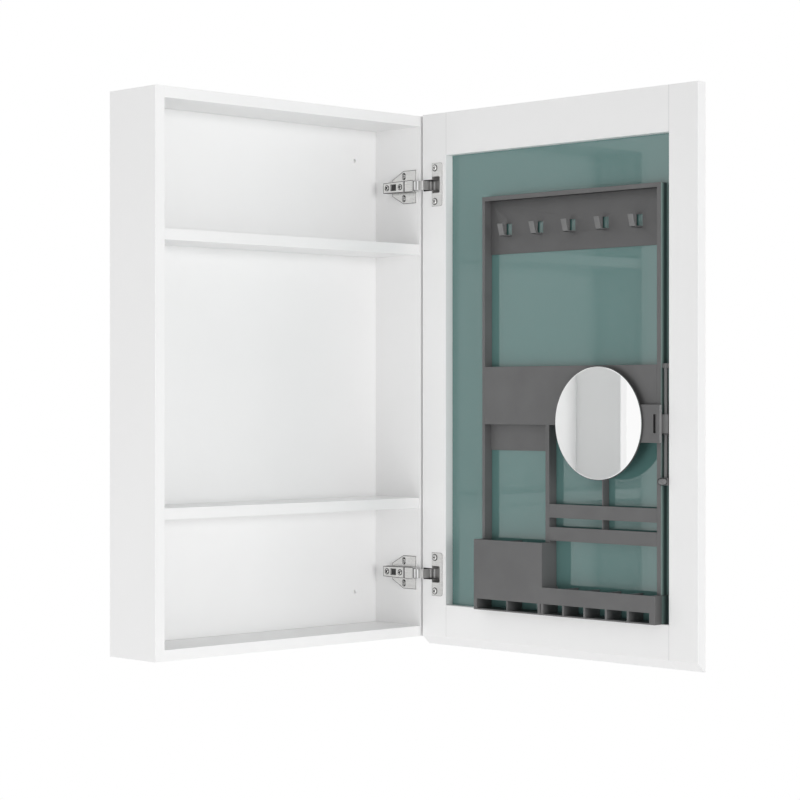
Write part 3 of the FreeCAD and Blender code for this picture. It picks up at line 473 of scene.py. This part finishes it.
def addPaintedSheen(piece, node, inset, reach, stops):
    # painted reflection and shade: the side next to the free stile is painted with the teal backing's
    # reflection, darkening with depth
    low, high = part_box(node)
    paintedSheen = mouldingFinish(pieceName(node) + "Sheen", grey(0.118), grey(0.134), (0.40, 0.50))
    addBands(paintedSheen, "X", low.x, high.x, stops)
    side = low.y + inset
    tint(piece, paintedSheen, lambda face: face.normal.y < -flush and abs(face.center.y - side) < reach)


def tintBracket(bracket, spec):
    # painted highlight on the end and top edge, and painted shade in the slot
    low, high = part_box("mirror_bracket")
    end = low.y + spec["endFace"]
    turn = spec["arrisTurn"]
    tint(bracket, highlightMoulding, lambda face: face.normal.y < -nearFlush and face.center.y < end
         or face.normal.z > turn and face.normal.x < -turn)
    tint(bracket, blackNylonAndShade, lambda face: abs(face.normal.x) < spec["wallTurn"]
         and low.y + spec["slotFrom"] < face.center.y < low.y + spec["slotTo"]
         and low.z + spec["slotEnd"] < face.center.z < high.z - spec["slotEnd"])


def buildRack(spec):
    made = {node: soften(node, greyMoulding, spec["arris"], spec["shortest"]) for node in spec["nodes"]}
    addPaintedSheen(made["rack_frame"], "rack_frame", spec["lugReach"], spec["paintedSheenReach"], spec["railSheen"])
    addPaintedSheen(made["storage_bin"], "storage_bin", 0.0, spec["paintedSheenReach"], spec["binSheen"])
    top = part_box("rack_frame")[1].z - spec["railTop"]
    # painted shade: the underside of the frame's top rail is near black
    tint(made["rack_frame"], blackNylonAndShade, lambda face: face.normal.z < -flush and face.center.z > top)
    tintBracket(made["mirror_bracket"], spec)
    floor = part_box("storage_bin")[0].z + spec["binFloor"]
    # painted shade: the floors of the bin's slots are near black
    tint(made["storage_bin"], blackNylonAndShade, lambda face: face.normal.z > flush and face.center.z < floor)


buildRack(rackMoulding)
mirrorRod = {"arris": 0.0003, "shortest": 0.1}
soften("mirror_rod", greyMoulding, mirrorRod["arris"], mirrorRod["shortest"])
mirrorSleeve = {"arris": 0.0001, "shortest": 0.0035}
soften("mirror_sleeve", greyMoulding, mirrorSleeve["arris"], mirrorSleeve["shortest"])
paint("slide_bush", blackNylonAndShade)
print("rack done")


# hinges

hingeMetal = {
    "arris": 0.00018, "shortest": 0.0025, "rim": 0.0008, "cupRim": 0.00034,
    "flange": 0.2341, "throat": -0.1226, "slotFloor": 0.2332, "groove": 0.2224,
}


def buildHinge(level, spec):
    def part(name, material, rim=0.0, deepest=0.0):
        return soften(f"hinge_{name}_{level}", material, spec["arris"], spec["shortest"], True, rim, deepest)

    plate = part("plate", nickelPlate, spec["rim"], spec["slotFloor"])
    # painted highlight: the plate's faces toward the free side are a brighter nickel
    tint(plate, highlightNickel, lambda face: face.normal.y < -nearFlush)
    # painted shade: the floors of the plate's slots are near black
    tint(plate, shadowSteel, lambda face: face.normal.x < -nearFlush and face.center.x > spec["slotFloor"])
    arm = part("arm", nickelPlate, spec["rim"], spec["groove"])
    # painted highlight: the arm's faces toward the free side are a brighter nickel
    tint(arm, highlightNickel, lambda face: face.normal.y < -nearFlush)
    # painted shade: the arm's top and bottom faces are dark
    tint(arm, outlineShadeSteel, lambda face: abs(face.normal.z) > nearFlush)
    # painted shade: the floor of the arm's groove is near black
    tint(arm, shadowSteel, lambda face: face.normal.x < -nearFlush and face.center.x > spec["groove"])
    part("neck", gooseneckSteel)
    # painted shade: the spring seen through the arm's window is near black
    paint(f"hinge_spring_{level}", shadowSteel)
    paint(f"hinge_pin_{level}", darkSteelAndShade)
    # painted light: the stop inside the cup is bright nickel against the shade there
    paint(f"hinge_stop_{level}", highlightNickel)
    cup = part("cup", nickelPlate, spec["cupRim"], spec["flange"])
    # painted shade: the cup's inside within the door is a darker grey steel, and its throat near black
    tint(cup, cupSteel, lambda face: face.center.x > spec["flange"])
    tint(cup, darkSteelAndShade, lambda face: face.center.y > spec["throat"])


for level in ("upper", "lower"):
    buildHinge(level, hingeMetal)
print("hinges done")


# screws

def seatPoints(node):
    # the outer end of every screw in a group of solids
    shape = bmesh.new()
    shape.from_mesh(nodes[node].data)
    bmesh.ops.remove_doubles(shape, verts=shape.verts, dist=meshLimits["weld"])
    left = set(shape.verts)
    spots = []
    while left:
        queue = [left.pop()]
        island = list(queue)
        while queue:
            for edge in queue.pop().link_edges:
                for vert in edge.verts:
                    if vert in left:
                        left.discard(vert)
                        queue.append(vert)
                        island.append(vert)
        low = Vector([min(v.co[axis] for v in island) for axis in range(3)])
        high = Vector([max(v.co[axis] for v in island) for axis in range(3)])
        middle = (low + high) / 2
        spots.append(Vector((low.x, middle.y, middle.z)))
    shape.free()
    return sorted(spots, key=lambda spot: (spot.z, spot.y))


screwHead = {"sides": 32, "rim": 0.55, "crown": 0.72, "tip": 0.6, "crossReach": 0.56, "crossTop": 0.00015,
             "shadeRingFrom": 0.99}


def makeScrewTree(spec):
    sizes = ("Head Radius", "Head Height", "Shank Radius", "Shank Length", "Cross Length", "Cross Width",
             "Cross Depth", "Shade Ring Radius", "Shade Ring Height")
    tree, given, out = startGroup(
        "crossScrews", "GeometryNodeTree",
        [("Geometry", "NodeSocketGeometry", None)] + [(label, "NodeSocketFloat", 0.001) for label in sizes]
        + [("Seed", "NodeSocketInt", 3), ("Finish", "NodeSocketMaterial", None)],
        [("Geometry", "NodeSocketGeometry")])
    value = given.outputs

    def offset(shape, height):
        move = addNode(tree, "GeometryNodeTransform")
        lift = addNode(tree, "ShaderNodeCombineXYZ")
        feed(tree, height, lift.inputs["Z"])
        feed(tree, shape, move.inputs["Geometry"])
        feed(tree, lift.outputs[0], move.inputs["Translation"])
        return move.outputs["Geometry"]

    def cone(bottom, top, height):
        made = addNode(tree, "GeometryNodeMeshCone")
        made.inputs["Vertices"].default_value = spec["sides"]
        feed(tree, bottom, made.inputs["Radius Bottom"])
        feed(tree, top, made.inputs["Radius Top"])
        feed(tree, height, made.inputs["Depth"])
        return made.outputs["Mesh"]

    def bar(length, width):
        size = addNode(tree, "ShaderNodeCombineXYZ")
        feed(tree, length, size.inputs["X"])
        feed(tree, width, size.inputs["Y"])
        feed(tree, mathNode(tree, "MULTIPLY", value["Cross Depth"], 2.0), size.inputs["Z"])
        cube = addNode(tree, "GeometryNodeMeshCube")
        feed(tree, size.outputs[0], cube.inputs["Size"])
        return cube.outputs["Mesh"]

    lower = mathNode(tree, "MULTIPLY", value["Head Height"], spec["rim"])
    upper = mathNode(tree, "MULTIPLY", value["Head Height"], 1.0 - spec["rim"])
    crown = mathNode(tree, "MULTIPLY", value["Head Radius"], spec["crown"])
    top = mathNode(tree, "MULTIPLY", value["Head Height"], -1.0)
    rim = offset(cone(value["Head Radius"], value["Head Radius"], lower), top)
    dome = offset(cone(value["Head Radius"], crown, upper), mathNode(tree, "MULTIPLY", upper, -1.0))
    tip = mathNode(tree, "MULTIPLY", value["Shank Radius"], spec["tip"])
    shank = offset(cone(tip, value["Shank Radius"], value["Shank Length"]),
                   mathNode(tree, "SUBTRACT", top, value["Shank Length"]))
    # a thin disc under the head, painted dark in buildScrews as the shade round the head
    shadeRing = offset(cone(value["Shade Ring Radius"], value["Shade Ring Radius"], value["Shade Ring Height"]), top)
    solid = addNode(tree, "GeometryNodeMeshBoolean", operation="UNION", solver="EXACT")
    for shape in (rim, dome, shank, shadeRing):
        feed(tree, shape, solid.inputs["Mesh 2"])
    cross = addNode(tree, "GeometryNodeMeshBoolean", operation="DIFFERENCE", solver="EXACT")
    feed(tree, solid.outputs["Mesh"], cross.inputs["Mesh 1"])
    feed(tree, bar(value["Cross Length"], value["Cross Width"]), cross.inputs["Mesh 2"])
    feed(tree, bar(value["Cross Width"], value["Cross Length"]), cross.inputs["Mesh 2"])

    scatter = addNode(tree, "GeometryNodeInstanceOnPoints")
    scatter.inputs["Rotation"].default_value = (0.0, -math.pi / 2, 0.0)
    feed(tree, given.outputs["Geometry"], scatter.inputs["Points"])
    feed(tree, cross.outputs["Mesh"], scatter.inputs["Instance"])
    angle = addNode(tree, "FunctionNodeRandomValue", data_type="FLOAT")
    angle.inputs[3].default_value = math.pi / 2  # the widest turn
    feed(tree, value["Seed"], angle.inputs["Seed"])
    turn = addNode(tree, "ShaderNodeCombineXYZ")
    feed(tree, angle.outputs[1], turn.inputs["Z"])
    spin = addNode(tree, "GeometryNodeRotateInstances")
    spin.inputs["Local Space"].default_value = True
    feed(tree, scatter.outputs["Instances"], spin.inputs["Instances"])
    feed(tree, turn.outputs[0], spin.inputs["Rotation"])
    finishTree(tree, spin.outputs["Instances"], value["Finish"], out)
    return tree


def finishTree(tree, shape, material, out):
    real = addNode(tree, "GeometryNodeRealizeInstances")
    skin = addNode(tree, "GeometryNodeSetMaterial")
    feed(tree, shape, real.inputs["Geometry"])
    feed(tree, real.outputs["Geometry"], skin.inputs["Geometry"])
    feed(tree, material, skin.inputs["Material"])
    feed(tree, skin.outputs["Geometry"], out.inputs["Geometry"])


def grow(name, tree, mesh, values):
    # runs a tree on a mesh and gives back the plain mesh that it makes
    holder = bpy.data.objects.new(name + "Holder", mesh)
    scene.collection.objects.link(holder)
    modifier = holder.modifiers.new("grow", "NODES")
    modifier.node_group = tree
    keys = {item.name: item.identifier for item in tree.interface.items_tree if item.in_out == "INPUT"}
    for label, value in values.items():
        modifier[keys[label]] = value
    bakeModifiers(holder)
    made = holder.data
    bpy.data.objects.remove(holder)
    made.name = name
    return made


def joinMeshes(name, *parts):
    # one mesh of several, each with its own finish
    joined = bmesh.new()
    mesh = bpy.data.meshes.new(name)
    for index, (part, material) in enumerate(parts):
        start = len(joined.faces)
        joined.from_mesh(part)
        joined.faces.ensure_lookup_table()
        for face in joined.faces[start:]:
            face.material_index = index
            face.smooth = True
        mesh.materials.append(material)
    joined.to_mesh(mesh)
    joined.free()
    mesh.set_sharp_from_angle(angle=meshLimits["edgeTurn"])
    return mesh


def pointMesh(name, points, edges=()):
    mesh = bpy.data.meshes.new(name)
    mesh.from_pydata([tuple(point) for point in points], list(edges), [])
    return mesh


crossScrews = makeScrewTree(screwHead)
screwSets = {
    "hinge_plate_screws": {"Head Radius": 0.0026, "Head Height": 0.0012, "Shank Radius": 0.0019,
                           "Shank Length": 0.0100, "Cross Length": 0.0036, "Cross Width": 0.0009,
                           "Cross Depth": 0.0008, "Shade Ring Radius": 0.0030, "Shade Ring Height": 0.0004, "Seed": 3},
    "hinge_cup_screws": {"Head Radius": 0.0040, "Head Height": 0.0016, "Shank Radius": 0.0019,
                         "Shank Length": 0.0100, "Cross Length": 0.0046, "Cross Width": 0.0011,
                         "Cross Depth": 0.0010, "Shade Ring Radius": 0.0050, "Shade Ring Height": 0.0003, "Seed": 5},
    "hinge_adjusters": {"Head Radius": 0.0034, "Head Height": 0.0012, "Shank Radius": 0.0015,
                        "Shank Length": 0.0080, "Cross Length": 0.0056, "Cross Width": 0.0019,
                        "Cross Depth": 0.0008, "Shade Ring Radius": 0.0044, "Shade Ring Height": 0.0003, "Seed": 8},
}


def buildScrews(node, sizes, head):
    spots = seatPoints(node)
    mesh = grow(pieceName(node), crossScrews, pointMesh(node, spots), {**sizes, "Finish": nickelPlate})

    def isDark(face):  # painted shade: the thin ring round the head and the cross recess are painted near black
        spot = min(spots, key=lambda point: (point - face.center).length)
        out = [(mesh.vertices[v].co - spot).yz.length for v in face.vertices]
        deep = face.center.x - spot.x
        inCross = (max(out) < sizes["Cross Length"] * head["crossReach"]
                   and head["crossTop"] < deep < sizes["Head Height"])
        return inCross or min(out) > sizes["Head Radius"] * head["shadeRingFrom"]

    piece = newPiece(mesh, node)
    tint(piece, shadowSteel, isDark)


for node, sizes in screwSets.items():
    buildScrews(node, sizes, screwHead)
print("screws done")


# hooks

hookPanel = {
    "count": 5, "pitch": 0.059, "first": 0.035, "width": 0.009, "opening": 0.0104, "window": 0.016,
    "throat": 0.0150, "leaf": 0.0018, "lean": math.radians(16.0), "level": 0.034, "sheet": 0.0025,
    "skin": 0.0012, "bend": 0.002, "bendSteps": 8, "corner": 0.0005, "cornerSteps": 3, "arris": 0.0003,
    "shortest": 0.0035, "underTurn": 0.7,
}


def makeHookTree(spec):
    tree, given, out = startGroup(
        "hookRow", "GeometryNodeTree",
        [("Geometry", "NodeSocketGeometry", None), ("Width", "NodeSocketFloat", spec["width"]),
         ("Leaf", "NodeSocketFloat", spec["leaf"]), ("Bend", "NodeSocketFloat", spec["bend"]),
         ("Count", "NodeSocketInt", spec["count"]), ("Pitch", "NodeSocketFloat", spec["pitch"]),
         ("Finish", "NodeSocketMaterial", None)],
        [("Geometry", "NodeSocketGeometry")])
    value = given.outputs
    path = addNode(tree, "GeometryNodeMeshToCurve")
    feed(tree, value["Geometry"], path.inputs["Mesh"])
    fillet = addNode(tree, "GeometryNodeFilletCurve", mode="POLY")
    fillet.inputs["Count"].default_value = spec["bendSteps"]
    fillet.inputs["Limit Radius"].default_value = True
    feed(tree, path.outputs["Curve"], fillet.inputs["Curve"])
    feed(tree, value["Bend"], fillet.inputs["Radius"])
    section = addNode(tree, "GeometryNodeCurvePrimitiveQuadrilateral")
    feed(tree, value["Leaf"], section.inputs["Height"])
    feed(tree, value["Width"], section.inputs["Width"])
    corner = addNode(tree, "GeometryNodeFilletCurve", mode="POLY")
    corner.inputs["Count"].default_value = spec["cornerSteps"]
    corner.inputs["Radius"].default_value = spec["corner"]
    feed(tree, section.outputs["Curve"], corner.inputs["Curve"])
    strip = addNode(tree, "GeometryNodeCurveToMesh")
    strip.inputs["Fill Caps"].default_value = True
    feed(tree, fillet.outputs["Curve"], strip.inputs["Curve"])
    feed(tree, corner.outputs["Curve"], strip.inputs["Profile Curve"])
    row = addNode(tree, "GeometryNodeMeshLine", mode="OFFSET")
    feed(tree, value["Count"], row.inputs["Count"])
    step = addNode(tree, "ShaderNodeCombineXYZ")
    feed(tree, mathNode(tree, "MULTIPLY", value["Pitch"], -1.0), step.inputs["Y"])
    feed(tree, step.outputs[0], row.inputs["Offset"])
    scatter = addNode(tree, "GeometryNodeInstanceOnPoints")
    feed(tree, row.outputs["Mesh"], scatter.inputs["Points"])
    feed(tree, strip.outputs["Mesh"], scatter.inputs["Instance"])
    finishTree(tree, scatter.outputs["Instances"], value["Finish"], out)
    return tree


def piercedSheet(name, face, across, upright, spec):
    # a flat sheet cut along the across and upright lines, with a window left out of every other column
    shape = bmesh.new()
    front, back = [[[shape.verts.new((x, y, z)) for z in upright] for y in across]
                   for x in (face, face + spec["skin"])]
    for i in range(len(across) - 1):
        for j in range(len(upright) - 1):
            if i % 2 == 1 and j == 1:
                continue
            for layer in (front, back):
                shape.faces.new((layer[i][j], layer[i + 1][j], layer[i + 1][j + 1], layer[i][j + 1]))
    behind = {vert: twin for line, twins in zip(front, back) for vert, twin in zip(line, twins)}
    for edge in [edge for edge in shape.edges if edge.is_boundary and edge.verts[0] in behind]:
        near, far = edge.verts
        shape.faces.new((near, far, behind[far], behind[near]))
    bmesh.ops.recalc_face_normals(shape, faces=shape.faces)
    bmesh.ops.dissolve_limit(shape, angle_limit=meshLimits["coplanar"], verts=shape.verts, edges=shape.edges)
    return softenEdges(shape, name, spec["arris"], spec["shortest"], False)


def buildHooks(spec):
    low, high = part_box("hook_panel")
    front = high.x - spec["sheet"]
    foot = low.z + spec["level"] - spec["window"] / 2
    middles = [high.y - spec["first"] - index * spec["pitch"] for index in range(spec["count"])]
    across = [high.y]
    for middle in middles:
        across += [middle + spec["opening"] / 2, middle - spec["opening"] / 2]
    across.append(low.y)
    upright = [low.z, foot, foot + spec["window"], high.z]
    sheet = piercedSheet("hookSheet", front, across, upright, spec)
    half = spec["leaf"] / 2
    bottom = foot - half
    base = front - spec["throat"] + half
    tip = spec["window"] + half
    path = [Vector((front + spec["skin"], middles[0], bottom)), Vector((base, middles[0], bottom)),
            Vector((base - tip * math.sin(spec["lean"]), middles[0], bottom + tip * math.cos(spec["lean"])))]
    hooks = grow("hookStrips", makeHookTree(spec), pointMesh("hookPath", path, [(0, 1), (1, 2)]),
                 {"Width": spec["width"], "Leaf": spec["leaf"], "Bend": spec["bend"], "Count": spec["count"],
                  "Pitch": spec["pitch"], "Finish": greyMoulding})
    # painted shade: the sheet is a darker grey for the shade of its recess; painted light: the hook leaves
    # are a paler grey
    mesh = joinMeshes("hookPanel", (sheet, recessShadeSheet), (hooks, litMoulding))
    piece = newPiece(mesh, "hook_panel")
    # painted shade: the undersides of the hooks are near black
    tint(piece, blackNylonAndShade, lambda face: face.normal.z < -spec["underTurn"] and face.center.x < front)


buildHooks(hookPanel)
print("hooks done")


# shaving mirror and knob

def turnProfile(name, profile, centre, segments, crease):
    # turns (outward from face, radius) pairs about the X axis through centre
    shape = bmesh.new()
    rings = []
    for out, radius in profile:
        count = segments if radius > meshLimits["weld"] else 1  # one point on the axis itself
        turns = [math.tau * step / count for step in range(count)]
        rings.append([shape.verts.new((centre.x - out, centre.y - radius * math.sin(turn),
                                       centre.z + radius * math.cos(turn))) for turn in turns])
    for ring, after in zip(rings, rings[1:]):
        for step in range(segments):
            corners = [line[(step + shift) % len(line)]
                       for line, shift in ((ring, 0), (ring, 1), (after, 1), (after, 0))]
            shape.faces.new(list(dict.fromkeys(corners)))
    bmesh.ops.recalc_face_normals(shape, faces=shape.faces)
    for face in shape.faces:
        face.smooth = True
    mesh = bpy.data.meshes.new(name)
    shape.to_mesh(mesh)
    shape.free()
    mesh.set_sharp_from_angle(angle=math.radians(crease))
    return mesh


shavingMirror = {"bevelWidth": 0.0009, "bevelDrop": 0.00012, "edgeRound": 0.0003, "segments": 160,
                 "crease": 5.0, "sideTurn": 0.5}


def buildMirrorGlass(spec):
    low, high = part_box("shaving_mirror")
    centre = (low + high) / 2
    radius = (high.z - low.z) / 2
    thick = high.x - low.x
    back = Vector((high.x, centre.y, centre.z))
    profile = [(0.0, 0.0), (0.0, radius - spec["edgeRound"]), (spec["edgeRound"], radius),
               (thick - spec["bevelDrop"], radius), (thick, radius - spec["bevelWidth"]), (thick, 0.0)]
    mesh = turnProfile("shavingMirror", profile, back, spec["segments"], spec["crease"])
    mesh.materials.append(silveredGlass)
    mesh.materials.append(glassEdge)
    for face in mesh.polygons:
        face.material_index = 0 if abs(face.normal.x) > spec["sideTurn"] else 1
    newPiece(mesh, "shaving_mirror")


mirrorCase = {"round": 0.0006, "roundMiddle": 0.3, "nose": 0.0002, "lip": 0.0008, "wall": 0.0012,
              "slack": 0.0001, "segments": 160, "crease": 50.0}


def buildMirrorCase(spec):
    low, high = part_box("mirror_case")
    centre = (low + high) / 2
    radius = (high.z - low.z) / 2
    depth = high.x - low.x
    back = Vector((high.x, centre.y, centre.z))
    inside = radius - spec["lip"]
    soft = spec["round"]
    middle = soft * spec["roundMiddle"]
    profile = [(0.0, 0.0), (0.0, radius - soft), (middle, radius - middle), (soft, radius),
               (depth - spec["nose"], radius), (depth, radius - spec["nose"]), (depth, inside),
               (spec["wall"], inside), (spec["wall"], 0.0)]
    mesh = turnProfile("mirrorCase", profile, back, spec["segments"], spec["crease"])
    mesh.materials.append(greyMoulding)
    piece = newPiece(mesh, "mirror_case")
    # painted shade: the case's outer rim is dark, standing for the shadow ring round the mirror
    tint(piece, shadeRimMoulding, lambda face: (face.center - back).yz.length > inside - spec["slack"])


rodKnob = {
    "stem": 0.0015, "stemLength": 0.003, "stemSegments": 32, "widen": 1.22, "flat": 0.0024, "groove": 0.0004,
    "grooveFrom": 0.0003, "grooveTo": 0.0007, "grooveRim": 0.0004, "hub": 0.0011, "turn": math.radians(45.0),
    "rings": 14, "segments": 64, "crease": 35.0, "outTurn": 0.6,
}


def buildKnob(spec):
    # a ball on a short stem, with a turned flat that looks out past the free stile
    low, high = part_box("rod_knob")
    centre = (low + high) / 2
    radius = (high.z - low.z) / 2
    middle = Vector((low.x + radius, centre.y, centre.z))
    start = math.asin(spec["flat"] / radius)
    face = radius * math.cos(start)
    arc = [start + (math.pi - start) * step / spec["rings"] for step in range(spec["rings"] + 1)]
    floor = face - spec["groove"]
    profile = [(face, 0.0), (face, spec["hub"]), (floor, spec["hub"] + spec["grooveFrom"]),
               (floor, spec["flat"] - spec["grooveTo"]), (face, spec["flat"] - spec["grooveRim"])]
    profile += [(radius * math.cos(angle), radius * math.sin(angle)) for angle in arc]
    ball = turnProfile("knobBall", profile, Vector((0.0, 0.0, 0.0)), spec["segments"], spec["crease"])
    ball.transform(Matrix.Translation(middle) @ Matrix.Rotation(spec["turn"], 4, "Z")
                   @ Matrix.Diagonal((1.0, spec["widen"], 1.0, 1.0)))
    reach, thick = spec["stemLength"], spec["stem"]
    stem = turnProfile("knobStem", [(0.0, 0.0), (0.0, thick), (reach, thick), (reach, 0.0)],
                       Vector((high.x, centre.y, centre.z)), spec["stemSegments"], spec["crease"])
    mesh = joinMeshes("rodKnob", (ball, blackNylonAndShade), (stem, greyMoulding))
    piece = newPiece(mesh, "rod_knob")
    # painted light and shade: the ball's outward-facing side is pale grey and the rest black
    outward = Vector((-math.cos(spec["turn"]), -math.sin(spec["turn"]), 0.0))
    tint(piece, litMoulding,
         lambda side: side.normal.dot(outward) > spec["outTurn"] and side.material_index == 0)


buildMirrorGlass(shavingMirror)
buildMirrorCase(mirrorCase)
buildKnob(rodKnob)
print("shaving mirror done")


# floor, light and camera

studio = {
    "floorLevel": -1.7, "floorSize": 40.0, "floorTone": 0.9, "floorRoughness": 0.9, "floorGlow": 0.18,
    "ambient": 0.45,
    "key": {"place": (-1.6, -9.0, 0.3), "aim": (0.0, -0.1, 0.0), "size": 2.6, "power": 201.0},
    "side": {"place": (2.0, -8.7, 0.2), "aim": (0.0, -0.1, 0.0), "size": 2.6, "power": 84.0},
    "fill": {"place": (-3.6, -0.4, -1.1), "aim": (0.0, -0.3, -0.1), "size": 1.8, "power": 38.0},
}


def seenWhite(tree):
    # 1 for rays that look at the background directly, in a mirror or through glass
    rays = addNode(tree, "ShaderNodeLightPath")
    seen = mathNode(tree, "MAXIMUM", rays.outputs["Is Camera Ray"], rays.outputs["Is Glossy Ray"])
    return mathNode(tree, "MAXIMUM", seen, rays.outputs["Is Transmission Ray"])


def buildFloor(spec):
    mesh = bpy.data.meshes.new("studioFloor")
    half = spec["floorSize"] / 2
    level = spec["floorLevel"]
    corners = [(-half, -half, level), (half, -half, level), (half, half, level), (-half, half, level)]
    mesh.from_pydata(corners, [], [(0, 1, 2, 3)])
    floor = bpy.data.objects.new("studioFloor", mesh)
    scene.collection.objects.link(floor)
    material, tree, shader = newMaterial("paleFloor", Roughness=spec["floorRoughness"],
                                         Emission_Strength=spec["floorGlow"])
    shader.inputs["Base Color"].default_value = (*grey(spec["floorTone"]), 1.0)
    glow = addNode(tree, "ShaderNodeEmission")
    mix = addNode(tree, "ShaderNodeMixShader")
    feed(tree, seenWhite(tree), mix.inputs[0])
    feed(tree, shader.outputs[0], mix.inputs[1])
    feed(tree, glow.outputs[0], mix.inputs[2])
    feed(tree, mix.outputs[0], tree.nodes["Material Output"].inputs["Surface"])
    mesh.materials.append(material)


def buildWorld(spec):
    world = bpy.data.worlds.new("studioWorld")
    scene.world = world
    world.use_nodes = True
    tree = world.node_tree
    backdrop = tree.nodes["Background"]
    backdrop.inputs["Color"].default_value = (1.0, 1.0, 1.0, 1.0)
    span = addNode(tree, "ShaderNodeMapRange")
    span.inputs["To Min"].default_value = spec["ambient"]
    span.inputs["To Max"].default_value = 1.0
    feed(tree, seenWhite(tree), span.inputs["Value"])
    feed(tree, span.outputs["Result"], backdrop.inputs["Strength"])


def buildLamp(name, spec):
    lamp = bpy.data.lights.new(name, "AREA")
    lamp.size = spec["size"]
    lamp.energy = spec["power"]
    holder = bpy.data.objects.new(name, lamp)
    holder.location = spec["place"]
    holder.rotation_euler = (Vector(spec["aim"]) - Vector(spec["place"])).to_track_quat("-Z", "Y").to_euler()
    scene.collection.objects.link(holder)


photoCamera = {"place": (-2.1101, -2.4680, -0.0332), "turn": -44.18, "sensor": 36.0, "lens": 103.97,
               "shift": -0.00107, "reach": 200.0}


def buildCamera(spec):
    data = bpy.data.cameras.new("photoCamera")
    data.sensor_width = spec["sensor"]
    data.lens = spec["lens"]
    data.shift_y = spec["shift"]
    data.clip_end = spec["reach"]
    camera = bpy.data.objects.new("photoCamera", data)
    camera.location = spec["place"]
    camera.rotation_euler = (math.pi / 2, 0.0, math.radians(spec["turn"]))
    scene.collection.objects.link(camera)
    scene.camera = camera


buildFloor(studio)
buildWorld(studio)
buildLamp("keyLamp", studio["key"])
buildLamp("sideLamp", studio["side"])
buildLamp("fillLamp", studio["fill"])
buildCamera(photoCamera)
print("studio done")
